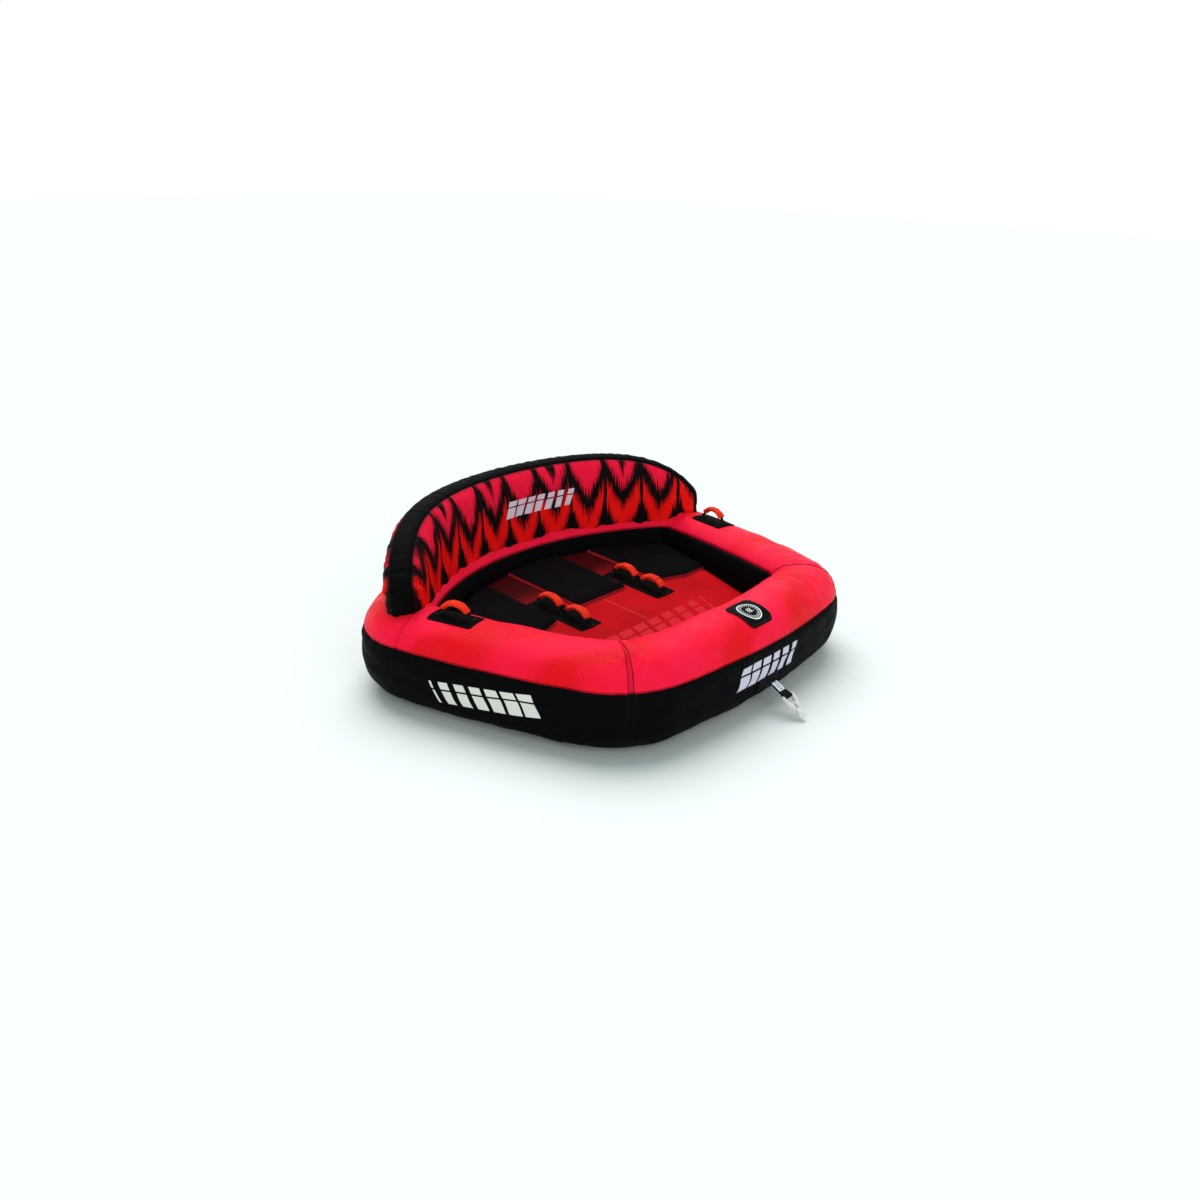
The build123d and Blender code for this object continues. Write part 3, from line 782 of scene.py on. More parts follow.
def pattern_cloth():
    """Red and black flame print: columns of pointed shapes with ragged woven edges."""
    m = Shade("flame_print", rough=0.6, specular=0.04)
    a, h, printed = m.read("cloth")
    rim, along, _ = m.read("edge")
    streak = m.noise(m.join(a * 230.0, h * 9.0), 1.0, 1.0)
    comb = m.fold(a, 0.0085) - 0.5
    ragged = (streak - 0.5) * 0.12 + comb * 0.042
    column = a - COLUMN_AT + 10 * COLUMN
    side = m.fold(column, COLUMN)
    twin = m.fold(column + COLUMN / 2, 2 * COLUMN)
    odd = m.ramp(twin, 0.35, 0.65)
    height = h + ragged
    bow = side ** 0.72
    level = height + bow * 0.175
    level = level - odd * 0.018
    band = m.ramp(level, 0.2, 0.212) * m.ramp(level, 0.316, 0.29)
    thin = m.ramp(side - (height - 0.15) * 0.8, 0.055, 0.015)
    stem = thin * m.ramp(height, 0.1, 0.2)
    lower = side + (streak - 0.5) * 0.16
    stem = m.most(stem, m.ramp(lower, 0.125, 0.06))
    crest = (1.0 - side) * 0.3 + 0.205
    wedge = m.ramp(height - crest, -0.012, 0.012) * odd
    low_tip = 0.1 - side * 0.22 - height
    foot = m.ramp(low_tip, -0.006, 0.010)
    low_v = m.ramp(level, 0.105, 0.092) * m.ramp(side, 0.35, 0.75)
    black = m.most(band, stem, wedge, foot, low_v)
    black = m.math("MINIMUM", black, 1.0)
    high = m.ramp(level + height * 0.5, 0.25, 0.46)
    red = m.mix(high, *FLAME_TINTS)
    dark = m.ramp(abs(level - 0.25), 0.085, 0.03) * 0.5
    red = m.mix(dark, red, (0.34, 0.0020, 0.0060))
    hair = m.ramp(m.fold(a, 0.0085), 0.35, 0.1) * m.ramp(h, 0.02, 0.2)
    red = m.mix(hair * 0.28, red, (0.1, 0.001, 0.006))
    tone = m.mix(black, red, (0.0028, 0.0018, 0.0024))
    mark = bars(m, a - BACK_MARK[0], h - BACK_MARK[1], 0.2, 0.036, 0.058) * printed
    tone = m.mix(mark, tone, (0.68, 0.58, 0.68))
    thread = stitches(m, rim, along, 0.007)
    # Painted shade: the panel darkens to near black in the groove along its sewn edge.
    groove = m.ramp(rim, 0.008, 0.0)
    tone = m.mix(groove * 0.7, tone, (0.02, 0.001, 0.0018))
    tone = m.mix(thread * 0.8, tone, (0.012, 0.002, 0.003))
    rough = m.ramp(m.noise(m.place(), 20.0), -0.7, 1.7)
    return m.done(tone, rough, m.bump(thread, 0.001, 0.6, m.woven(a, h)))


def back_rim(inset, count):
    """Outline of the arch in (run, height), evenly spaced and softened, with outward normals and run."""
    a = np.linspace(-1, 1, 900) * BACK_RUN
    rim_a = np.concatenate([[-BACK_RUN], a, [BACK_RUN]])
    rim_h = np.concatenate([[BACK_FOOT], arch_height(a / BACK_RUN), [BACK_FOOT]])
    line = evenly(np.stack([rim_a, rim_h], -1), count)
    for _ in range(40):
        line[1:-1] = (line[:-2] + 2 * line[1:-1] + line[2:]) / 4
    along = np.gradient(line, axis=0)
    along /= np.linalg.norm(along, axis=1)[:, None]
    normal = np.stack([-along[:, 1], along[:, 0]], -1)
    return line - normal * inset, normal, run_along(line)


def back_face(name, side, cols=430, rows=92):
    """Front (side -1) or back (side 1) panel: swollen, drawn in at its sewn edges."""
    rim, _, rim_run = back_rim(PANEL_INSET, 1500)
    reach = np.abs(rim[:, 0]).max() - 0.0002
    upper = (np.abs(rim[:, 0]) < reach) & (rim[:, 1] > BACK_FOOT + 0.02)
    a = np.linspace(-reach, reach, cols)
    v = np.linspace(0, 1, rows)
    tall = np.interp(a, rim[upper, 0], rim[upper, 1])
    aa, vv = np.meshgrid(a, v, indexing="ij")
    hh = BACK_FOOT + (tall[:, None] - BACK_FOOT) * vv
    gone = np.zeros(aa.shape, bool)
    if side > 0:
        aa, hh, gone = open_hole(aa, hh, (0.0, BACK_VALVE_H), VALVE_HOLE, *HOLE_SQUARE)
    near, pick = gap_to(np.stack([aa, hh], -1), rim)
    where = rim_run[pick]
    swell = np.sqrt(1 - (1 - np.clip(near / 0.135, 0, 1)) ** 2.2)
    p = np.stack([aa, hh, 0 * aa], -1)
    out = BACK_HALF_W + BACK_BULGE * swell
    seed = 50 if side < 0 else 60
    wave = ripples(where, seed, 0.028, 0.075)
    fine = ripples(where, seed + 1, 0.014, 0.030)
    out = out + 0.0046 * wave * np.exp(-near / 0.050) * (1 - np.exp(-near / 0.006))
    out = out + 0.0014 * fine * np.exp(-near / 0.018)
    out = out + 0.0034 * lumps(p, seed + 2, 0.10, 0.30) * swell
    out = out - 0.0030 * bell(near, 0.004)
    upright = lumps(p * np.array([2.4, 0.8, 1]), seed + 3, 0.08, 0.20)
    out = out + 0.0030 * upright * swell * np.exp(-(hh - BACK_FOOT) / 0.12)
    if side > 0:
        face = (BACK_VALVE_OUT + 0.0012) - (hh - BACK_VALVE_H) * math.tan(BACK_LEAN)
        out = settle(out, step(np.hypot(aa, hh - BACK_VALVE_H), 0.034, 0.090), face)
    verts = back_point(aa, side * out, hh).reshape(-1, 3)
    cloth = triples(aa, hh, side < 0)
    edge = triples(near, where, 0)
    faces = grid_faces(cols, rows, flip=side > 0)
    faces, (verts, cloth, edge) = without(gone, faces, verts, cloth, edge)
    return mesh_object(name, verts, faces, cloth, edge)


def back_gusset(name, cols=700, rows=33):
    """Rounded black band over the arch, between the two panels."""
    rim, normal, run = back_rim(PANEL_INSET, cols)
    w = np.linspace(-1, 1, rows)
    w = np.sign(w) * np.abs(w) ** 0.8
    ww, qq = np.meshgrid(w, run, indexing="xy")
    full = (1 - np.abs(ww) ** 2.4) ** 0.55
    crown = (PANEL_INSET - 0.0010) * full + 0.0013 * ripples(qq, 71, 0.03, 0.09) * full
    crown = crown + 0.0011 * ripples(qq, 72, 0.015, 0.035) * np.abs(ww) ** 2 * full
    along = rim[:, None, 0] + normal[:, None, 0] * crown
    up = rim[:, None, 1] + normal[:, None, 1] * crown
    verts = back_point(along, BACK_HALF_W * ww, up).reshape(-1, 3)
    cloth = triples(qq, BACK_HALF_W * ww, 0)
    edge = triples(0.055 * (1 - np.abs(ww)), 1, 0)
    return mesh_object(name, verts, grid_faces(cols, rows, flip=True), cloth, edge)


def build_backrest():
    """Two printed panels and the band between them."""
    print_cloth = pattern_cloth()
    front = back_face("backrest_front_print", -1)
    back = back_face("backrest_back_print", 1)
    band = back_gusset("backrest_band")
    dress(front, print_cloth, "tube", ["backrest_front_panel"])
    dress(back, print_cloth, "tube", ["backrest_back_panel"])
    dress(band, BLACK_COVER, "tube", ["backrest_gusset"])


build_backrest()


# ---------------------------------------------------------------- floor and seat pads
FLOOR_UP = np.array([0, -math.sin(FLOOR_RAKE), math.cos(FLOOR_RAKE)])
SEAT_THICK, SEAT_CROWN, SEAT_ROLL = 0.021, 0.007, 0.019
WALL_C = -0.1592                   # where the floor meets the inner wall
FLOOR_MARK_Y = SHIFT_Y - 0.3       # middle of the floor's tone-on-tone motif
FLOOR_TINTS = (0.40, 0.0016, 0.0040), (0.60, 0.0030, 0.0085)


def floor_z(y):
    return FLOOR_Z + (y - SHIFT_Y) * math.tan(FLOOR_RAKE)


def inner_curve(start, stop, count, offset=WALL_C):
    """Plan points along the inside of the ring."""
    point, normal = ring_at(np.linspace(start, stop, count))
    return point + normal * offset


def patch_grid(front, right, back, left, cols, rows):
    """Coons patch between four plan curves that meet at their corners.
    front and back run left to right, left and right run front to back."""
    f, b = evenly(front, cols), evenly(back, cols)
    l, r = evenly(left, rows), evenly(right, rows)
    u = np.linspace(0, 1, cols)[:, None, None]
    v = np.linspace(0, 1, rows)[None, :, None]
    ruled = (1 - v) * f[:, None] + v * b[:, None] + (1 - u) * l[None] + u * r[None]
    corners = (1 - u) * ((1 - v) * f[0] + v * b[0]) + u * ((1 - v) * f[-1] + v * b[-1])
    return ruled - corners


def cushion(name, grid, thick, crown, roll, relief=None, base=None):
    """A closed pad on the floor plane or on base(grid): crowned top, rolled sides, flat underside."""
    near, _ = gap_to(grid, rim_of(grid))
    rise = thick * np.sqrt(1 - (1 - np.clip(near / roll, 0, 1)) ** 2)
    rise = rise + crown * (1 - np.exp(-near / 0.045))
    if relief is not None:
        rise = rise + relief(grid, near) * np.clip(near / roll, 0, 1)
    ground = floor_z(grid[..., 1]) if base is None else base(grid)
    verts, faces = shell(lifted(grid, ground + rise), lifted(grid, ground - 0.0005))
    upper = lifted(grid, 1).reshape(-1, 3)
    cloth = np.concatenate([upper, upper * np.array([1, 1, 0])])
    edge = triples(near, 0.3, 0)
    return mesh_object(name, verts, faces, cloth, np.concatenate([edge] * 2))


def floor_fabric():
    """Dark red printed floor with a soft weave, sewn lines, a tone-on-tone bar motif and painted shadow
    towards the back.
    """
    m = Shade("floor_red_print", rough=0.6, specular=0.018)
    x, y, _ = m.read("cloth")
    fade = m.noise(m.place(), 3.0, 3.0)
    tone = m.mix(m.ramp(fade, 0.3, 0.75), *FLOOR_TINTS)
    # Painted shadow: the floor darkens to near black towards the back of the cockpit.
    shade = m.ramp(y + fade * 0.05, SHIFT_Y + 0.05, SHIFT_Y + 0.3)
    tone = m.mix(shade * 0.94, tone, (0.012, 0.0008, 0.0012))
    mark = bars(m, x, y - FLOOR_MARK_Y, 0.325, 0.072, 0.088)
    tone = m.mix(mark * 0.75, tone, (0.68, 0.02, 0.03))
    seam = m.ramp(abs(x), 0.0022, 0.0012) * m.ramp(y, SHIFT_Y - 0.215, SHIFT_Y - 0.21)
    tone = m.mix(seam * 0.8, tone, (0.62, 0.07, 0.07))
    groove = m.ramp(abs(x), 0.01, 0.0)
    return m.done(tone, m.ramp(fade, -0.5, 1.6), m.bump(groove, 0.003, -0.6, m.woven(x, y, 0.0018)))


def seat_fabric():
    """Black seat fabric, soft and slightly ribbed, with an edge binding."""
    m = Shade("seat_black", rough=0.75, specular=0.015)
    x, y, _ = m.read("cloth")
    rim, _, _ = m.read("edge")
    wear, tone = m.worn(9.0, 0.5, 0.85)
    bind = m.ramp(rim, 0.0036, 0.0026)
    tone = m.mix(bind, tone, (0.24, 0.010, 0.014))
    thread = stitches(m, rim, x + y, 0.008)
    tone = m.mix(thread * 0.6, tone, (0.03, 0.022, 0.025))
    rib = m.fold(x, 0.004) * m.fold(y, 0.004)
    return m.done(tone, m.ramp(wear, -0.8, 1.4), m.bump(rib + thread, 0.0012, 0.35))


def build_floor():
    """The floor sheet and three seat pads that follow the ring round the back."""
    c1, c2 = REAR_CORNER, FRONT_SEAM
    back = inner_curve(-c1, c1, 300)
    right = inner_curve(c1, c2, 240)[::-1]
    front = inner_curve(LOOP - c2, c2, 260)
    left = inner_curve(LOOP - c1, LOOP - c2, 240)[::-1]
    grid = patch_grid(front, right, back, left, 230, 180)
    near, _ = gap_to(grid, rim_of(grid))
    seam = bell(grid[..., 0], 0.006)
    rise = 0.0012 * (1 - np.exp(-near / 0.05)) - 0.010 * np.exp(-near / 0.007) - 0.0012 * seam
    p = lifted(grid, 0)
    rise = rise + 0.0010 * lumps(p, 81, 0.05, 0.18) * np.exp(-near / 0.12) - 0.0016
    verts = lifted(grid, floor_z(grid[..., 1]) + rise).reshape(-1, 3)
    floor = mesh_object("floor_sheet", verts, grid_faces(*grid.shape[:2]), p.reshape(-1, 3))
    dress(floor, floor_fabric(), "tube", ["floor_cover"])

    seat = seat_fabric()
    inside = WALL_C - 0.013

    def run_at(place, axis, start, stop, sign):
        """Run where the ring's inside passes a given x or y, which grows (sign 1) or falls on the way."""
        line = inner_curve(start, stop, 400, inside)[:, axis]
        return float(np.interp(sign * place, sign * line, np.linspace(start, stop, 400)))

    def folds(seed):
        def relief(plan, near):
            q = lifted(plan, 0)
            out = 0.0016 * lumps(q, seed, 0.06, 0.20)
            fine = lumps(q * np.array([2.0, 0.7, 1]), seed + 1, 0.03, 0.07)
            return out + 0.0010 * fine * np.exp(-near / 0.05)
        return relief

    y_front = 0.016 + SHIFT_Y
    half = 0.152
    run = run_at(half, 0, 0, REAR_CORNER, 1)
    grid = patch_grid(
        [(-half, y_front), (half, y_front)],
        [(half, y_front), inner_curve(run, run, 1, inside)[0]],
        inner_curve(-run, run, 80, inside),
        [(-half, y_front), inner_curve(-run, -run, 1, inside)[0]],
        90, 110)
    pad = cushion("seat_cushion_middle", grid, SEAT_THICK, SEAT_CROWN, SEAT_ROLL, folds(90))
    dress(pad, seat, "tube", ["seat_pad_middle"])

    y0, y1 = -0.020 + SHIFT_Y, -0.066 + SHIFT_Y
    corner_run = run_at(0.320, 0, 0, REAR_CORNER, 1)
    side_run = run_at(y1, 1, REAR_CORNER, FRONT_SEAM, -1)
    wall = inner_curve(REAR_CORNER, side_run, 90, inside)
    back_line = inner_curve(corner_run, REAR_CORNER, 90, inside)
    front_line = [(0.320, y0), (0.470, y1), tuple(wall[-1])]
    grid = patch_grid(front_line, wall[::-1], back_line, [(0.320, y0), tuple(back_line[0])], 100, 110)
    for word, flip in (("left", 1), ("right", -1)):
        plan = grid * np.array([flip, 1.0])
        plan = plan if flip > 0 else plan[::-1]
        pad = cushion("seat_cushion_" + word, plan, SEAT_THICK, SEAT_CROWN, SEAT_ROLL, folds(94 + flip))
        dress(pad, seat, "tube", ["seat_pad_" + word])


build_floor()


# ---------------------------------------------------------------- bladders inside the covers
def bladder_film():
    """Smooth dark PVC film with a faint weld grain."""
    m = Shade("bladder_film", rough=0.35, specular=0.5)
    fade = m.noise(m.place(), 14.0, 4.0)
    tone = m.mix(m.ramp(fade, 0.35, 0.7), (0.055, 0.056, 0.062), (0.085, 0.086, 0.094))
    return m.done(tone, m.ramp(fade, -0.4, 2.0), m.bump(m.noise(m.place(), 160.0), 0.0003, 0.3))


def build_bladders():
    """Three films inside the covers: ring, floor and backrest."""
    film = bladder_film()
    rows, cols = 300, 40
    point, normal = ring_at(np.linspace(0, LOOP, rows, endpoint=False))
    c, z, _, _ = section(np.linspace(0, TAU, cols, endpoint=False), inset=0.014)
    verts = lifted(point[:, None] + normal[:, None] * c[None, :, None], z)
    tube = mesh_object("bladder_ring", verts.reshape(-1, 3), grid_faces(rows, cols, True, True, flip=True))
    dress(tube, film, "tube", ["ring_bladder"])

    cols = 240
    plan = inner_curve(0, LOOP, cols, WALL_C - 0.006)
    rings = [(0.0035, 0.985), (0.0035, 1.0), (None, 1.0), (None, 0.985)]
    verts = []
    for height, share in rings:
        for x, y in plan:
            x, y = x * share, SHIFT_Y + (y - SHIFT_Y) * share
            verts.append((x, y, height if height else floor_z(y) - 0.014))
    faces = grid_faces(4, cols, wrap_cols=True)
    faces += [tuple(range(cols)), tuple(range(3 * cols, 4 * cols))[::-1]]
    slab = mesh_object("bladder_floor", verts, faces)
    dress(slab, film, "tube", ["floor_bladder"])

    rows, cols = 120, 32
    a = np.linspace(-1, 1, rows) * (BACK_RUN - 0.045)
    turn = np.linspace(0, TAU, cols, endpoint=False)
    tall = arch_height(a / BACK_RUN) - 0.034
    mid, half = (tall - 0.01) / 2, (tall + 0.01) / 2
    out = 0.052 * np.sign(np.cos(turn)) * np.abs(np.cos(turn)) ** 0.7
    up = mid[:, None] + half[:, None] * np.sign(np.sin(turn)) * np.abs(np.sin(turn)) ** 0.7
    verts = back_point(a[:, None] + 0 * up, out[None] * (0.5 + 0.5 * (half / half.max()))[:, None], up)
    faces = grid_faces(rows, cols, wrap_cols=True)
    faces += [tuple(range(cols))[::-1], tuple(range((rows - 1) * cols, rows * cols))]
    pillow = mesh_object("bladder_backrest", verts.reshape(-1, 3), faces)
    dress(pillow, film, "tube", ["backrest_bladder"])


build_bladders()


# ---------------------------------------------------------------- placing frames
class Spot:
    """A local frame: x and z given, y across; at(points) gives places in the model."""

    def __init__(self, origin, x, z):
        self.o = np.array(origin, float)
        self.x = np.array(x, float) / np.linalg.norm(x)
        self.z = np.array(z, float) / np.linalg.norm(z)
        self.y = np.cross(self.z, self.x)

    def at(self, points):
        p = np.asarray(points, float)
        return self.o + p[..., :1] * self.x + p[..., 1:2] * self.y + p[..., 2:3] * self.z


def tube_top(segment):
    """Height of the cover's top over plan points, near one arc of the ring."""
    cx, cy, radius = SEGMENTS[segment][:3]

    def height(plan):
        c = np.hypot(np.abs(plan[..., 0]) - cx, plan[..., 1] - cy) - radius
        share = np.maximum(1 - np.abs(c / TUBE_A) ** TUBE_POWER, 0.0)
        return TUBE_Z + TUBE_B * share ** (1 / TUBE_POWER)

    return height


def rounded_grid(half_x, half_y, radius, cols, rows):
    """A grid over a rectangle with rounded corners."""
    u, v = np.meshgrid(np.linspace(-1, 1, cols), np.linspace(-1, 1, rows), indexing="ij")
    x, y = u * half_x, v * half_y
    dx, dy = np.abs(x) - (half_x - radius), np.abs(y) - (half_y - radius)
    both = (dx > 0) & (dy > 0)
    size = np.maximum(np.hypot(dx, dy), 1e-9)
    pull = np.where(both, np.maximum(dx, dy) / size, 1.0)
    x = np.where(both, np.sign(x) * (half_x - radius + dx * pull), x)
    y = np.where(both, np.sign(y) * (half_y - radius + dy * pull), y)
    return np.stack([x, y], -1)


def box_mesh(verts, faces, spot, low, high, bevel=0.0):
    """Adds a chamfered block to a list of vertices and faces."""
    lo, hi = np.array(low), np.array(high)
    b = min(bevel, 0.45 * (hi - lo).min())
    first = len(verts)
    rings = []
    for z, inset in ((lo[2], b), (lo[2] + b, 0), (hi[2] - b, 0), (hi[2], b)):
        corners = []
        x0, x1, y0, y1 = lo[0] + inset, hi[0] - inset, lo[1] + inset, hi[1] - inset
        lower = [(x0 + b, y0), (x1 - b, y0), (x1, y0 + b), (x1, y1 - b)]
        for x, y in lower + [(x1 - b, y1), (x0 + b, y1), (x0, y1 - b), (x0, y0 + b)]:
            corners.append((x, y, z))
        rings.append(corners)
    pts = spot.at(np.array([c for r in rings for c in r]))
    verts.extend(pts.tolist())
    faces.append(tuple(first + k for k in range(8))[::-1])
    for r in range(3):
        for k in range(8):
            a, c = first + 8 * r + k, first + 8 * r + (k + 1) % 8
            faces.append((a, c, c + 8, a + 8))
    faces.append(tuple(first + 24 + k for k in range(8)))


def sweep_mesh(path, ups, section_points, closed_ends=True):
    """Vertices and faces of a section carried along a path; section_points(k) gives (side, up)."""
    path = np.asarray(path, float)
    tangent = np.gradient(path, axis=0)
    tangent /= np.linalg.norm(tangent, axis=1)[:, None]
    verts = []
    for k, (p, t) in enumerate(zip(path, tangent)):
        up = ups[k] - t * (ups[k] @ t)
        up /= np.linalg.norm(up)
        side = np.cross(t, up)
        for a, b in section_points(k):
            verts.append(p + a * side + b * up)
    count = len(section_points(0))
    faces = grid_faces(len(path), count, wrap_cols=True)
    if closed_ends:
        faces.append(tuple(range(count))[::-1])
        faces.append(tuple(range((len(path) - 1) * count, len(path) * count)))
    return np.array(verts), faces


def fix_normals(obj):
    """Turns all faces outward."""
    work = bmesh.new()
    work.from_mesh(obj.data)
    bmesh.ops.recalc_face_normals(work, faces=work.faces)
    work.to_mesh(obj.data)
    work.free()
    return obj


# ---------------------------------------------------------------- handles
def grip_fabric():
    """Orange-red nylon sleeve: fine ribs along it, with painted shade darkening it in the folds."""
    m = Shade("grip_orange", rough=0.6, specular=0.08)
    a, t, painted_fold_shade = m.read("cloth")
    fade = m.noise(m.place(), 60.0, 4.0, 0.6)
    tone = m.mix(m.ramp(fade, 0.35, 0.7), (0.78, 0.022, 0.006), (0.88, 0.042, 0.012))
    # Painted shade: the sleeve darkens to deep red where its gathers fold in.
    tone = m.mix(m.ramp(painted_fold_shade, 0.0, 1.0), tone, (0.26, 0.0035, 0.0016))
    rib = m.fold(t, 0.0016) + m.fold(a, 0.0016) * 0.6
    thread = m.ramp(abs(t), 0.0016, 0.0008) * m.ramp(m.fold(a, 0.005), 0.25, 0.4)
    tone = m.mix(thread * 0.7, tone, (0.3, 0.008, 0.006))
    return m.done(tone, m.ramp(fade, -0.9, 1.5), m.bump(rib, 0.0006, 0.5, m.bump(thread, 0.0008, 0.5)))


def webbing(name, dark, light):
    """Woven strap: ribs across, fine edge lines, a little wear on the ribs."""
    m = Shade(name, rough=0.65, specular=0.05)
    a, w, _ = m.read("cloth")
    wear = m.noise(m.place(), 90.0, 4.0, 0.6)
    rib = m.fold(a, 0.0022) * m.fold(w + a * 0.5, 0.0026)
    tone = m.mix(m.ramp(rib * 0.5 + wear * 0.6, 0.2, 0.9), dark, light)
    return m.done(tone, m.ramp(wear, -0.9, 1.4), m.bump(rib, 0.0008, 0.6))


ARCH_R = (ARCH_HALF ** 2 + ARCH_RISE ** 2) / (2 * ARCH_RISE)
ARCH_REACH = math.asin(ARCH_HALF / ARCH_R)
GRIP_REACH = ARCH_REACH - math.radians(14.0)
GATHER_MAX = 1.35                  # deepest fold of a sleeve, as a share of one gather


def arch_path(reach, count):
    """Points and outward ways of the handle's arch in (x, z)."""
    turn = np.linspace(-reach, reach, count)
    middle = ARCH_FOOT + ARCH_RISE - ARCH_R
    points = np.stack([ARCH_R * np.sin(turn), 0 * turn, middle + ARCH_R * np.cos(turn)], -1)
    ways = np.stack([np.sin(turn), 0 * turn, np.cos(turn)], -1)
    return points, ways


def build_handle(body, node, spot, seed, grip, strap):
    """A folded webbing strap with a gathered fabric sleeve round its arch."""
    stations, half_x, half_z, corner = 60, 0.0056, 0.0026, 0.0003
    points, ways = arch_path(ARCH_REACH, stations)
    outline = []
    for x, z, start in ((1, -1, -90), (1, 1, 0), (-1, 1, 90), (-1, -1, 180)):
        for turn in np.radians(start + np.linspace(0, 90, 4)):
            outline.append((x * half_x + corner * math.cos(turn), z * half_z + corner * math.sin(turn)))
    verts, faces = sweep_mesh(points, ways, lambda k: outline)
    run = np.repeat(np.linspace(0, 2 * ARCH_REACH * ARCH_R, stations), len(outline))
    across = np.tile([o[0] for o in outline], stations)
    piece = mesh_object(node + "_web", spot.at(verts), faces, triples(run, across, 0))
    dress(fix_normals(piece), strap, body, [node + "_strap"])

    count, round_count = 132, 40
    points, ways = arch_path(GRIP_REACH, count)
    ang = np.linspace(0, TAU, round_count, endpoint=False)
    share = np.linspace(-1, 1, count)
    length = 2 * GRIP_REACH * ARCH_R
    rng = np.random.default_rng(seed)
    gathers = []
    for _ in range(15):
        ranges = ((-0.97, 0.97), (0.018, 0.040), (0.5, 1.0), (-0.5, 0.5), (0, TAU))
        gathers.append([rng.uniform(*pair) for pair in ranges])
    depth = np.zeros((count, round_count))
    for centre, width, size, lean, phase in gathers:
        line = centre + 0.05 * lean * np.sin(ang + phase)
        face = 0.45 + 0.55 * np.clip(-np.sin(ang) + 0.35 * np.cos(ang + phase), 0, 1)
        depth += size * face[None] * np.exp(-((share[:, None] - line[None]) / width) ** 2)
    depth = np.clip(depth, 0, GATHER_MAX)
    gap = (1 - np.abs(share)) * length / 2
    ends = np.sqrt(1 - (1 - np.clip(gap / 0.007, 0, 1)) ** 2)
    body_w = GRIP_W / 2 * (0.30 + 0.70 * ends) * (1 - 0.05 * np.cos(3.1 * share + seed))
    body_h = GRIP_H / 2 * (0.34 + 0.66 * ends) * (1 + 0.05 * np.sin(2.3 * share + seed))
    tube = triples(share[:, None] * length / 2, 0.015 * np.cos(ang)[None], 0.012 * np.sin(ang)[None])
    crease = 0.0009 * lumps(tube, seed + 7, 0.012, 0.030).reshape(count, round_count)
    shape = -0.0021 * depth + crease * (gap[:, None] > 0.004)

    def ring(k):
        c, s = np.cos(ang), np.sin(ang)
        return np.stack([(body_w[k] + shape[k]) * c, (body_h[k] + shape[k]) * s], -1)

    verts, faces = sweep_mesh(points, ways, ring)
    around = (np.mod(ang + 1.5 * math.pi, TAU) - math.pi) * 0.014
    # The third component is the depth of the gathers; the sleeve's material paints shade in the folds from
    # it.
    cloth = triples(np.linspace(0, length, count)[:, None], around[None], depth / GATHER_MAX * 0.9)
    piece = mesh_object(node + "_sleeve", spot.at(verts), faces, cloth)
    dress(fix_normals(piece), grip, body, [node + "_grip"])


def build_tabs(name, node, spot, places, drape, strap):
    """Webbing ends: a flat stitched tab that rises into a rolled loop on the fold line."""
    verts, faces, cloth = [], [], []
    for x, long in places:
        grid = rounded_grid(0.0100, 0.0190, 0.002, 9, 15)
        plan = grid + np.array([x, 0])
        base = drape(plan)
        pad = 0.0022 - 0.0006 * bell(np.abs(grid[..., 1]) - 0.0155, 0.0016)
        levels = [spot.at(lifted(plan, level)) for level in (base + pad, base + 0.0002)]
        points, more = shell(*levels, first=len(verts))
        verts.extend(points.tolist())
        faces += more
        cloth += triples(grid[..., 1], grid[..., 0], 0).tolist() * 2
        ground = float(drape(np.array([x, 0.0])))
        outline = [(0.0028, ground + 0.0012)]
        for turn in np.radians(np.linspace(-60, 240, 22)):
            outline.append((0.0039 * math.cos(turn), ARCH_FOOT + 0.0039 * math.sin(turn)))
        outline.append((-0.0028, ground + 0.0012))
        stations = np.linspace(-long / 2, long / 2, 7)
        first = len(verts)
        for k, along in enumerate(stations):
            shrink = 1 - 0.10 * (k in (0, 6))
            for y, z in outline:
                place = np.array([x + along, y * shrink, ARCH_FOOT + (z - ARCH_FOOT) * shrink])
                verts.append(spot.at(place).tolist())
                cloth.append([z, along, 0])
        m = len(outline)
        faces += [tuple(first + k for k in f) for f in grid_faces(7, m, wrap_cols=True)]
        faces.append(tuple(first + k for k in range(m))[::-1])
        faces.append(tuple(first + 6 * m + k for k in range(m)))
    piece = mesh_object(name, verts, faces, cloth)
    dress(fix_normals(piece), strap, "tube", [node])


def pad_fabric():
    """Black handle patch: coated fabric with a bound, stitched edge and a slight grain."""
    m = Shade("handle_patch", rough=0.65, specular=0.015)
    x, y, _ = m.read("cloth")
    rim, _, _ = m.read("edge")
    wear, tone = m.worn(22.0, 0.5, 0.85)
    thread = stitches(m, rim, x + y, 0.005, 0.005, 0.0007)
    tone = m.mix(thread * 0.6, tone, (0.022, 0.022, 0.025))
    grain = m.weave(x, y, 0.0015) + m.noise(m.place(), 220.0) * 1.5
    return m.done(tone, m.ramp(wear, -0.7, 1.5), m.bump(thread, 0.0008, 0.5, m.bump(grain, 0.0004, 0.35)))


PAD_FABRIC = pad_fabric()
BLACK_WEB = webbing("webbing_black", (0.0030, 0.0030, 0.0034), (0.013, 0.013, 0.015))


def dimple(seed, size=0.0010):
    """Relief of a handle patch: slight lumps, drawn in along its stitching."""
    def relief(plan, near):
        return size * lumps(lifted(plan, 0), seed, 0.035, 0.11) - 0.0008 * bell(near - 0.005, 0.0018)
    return relief


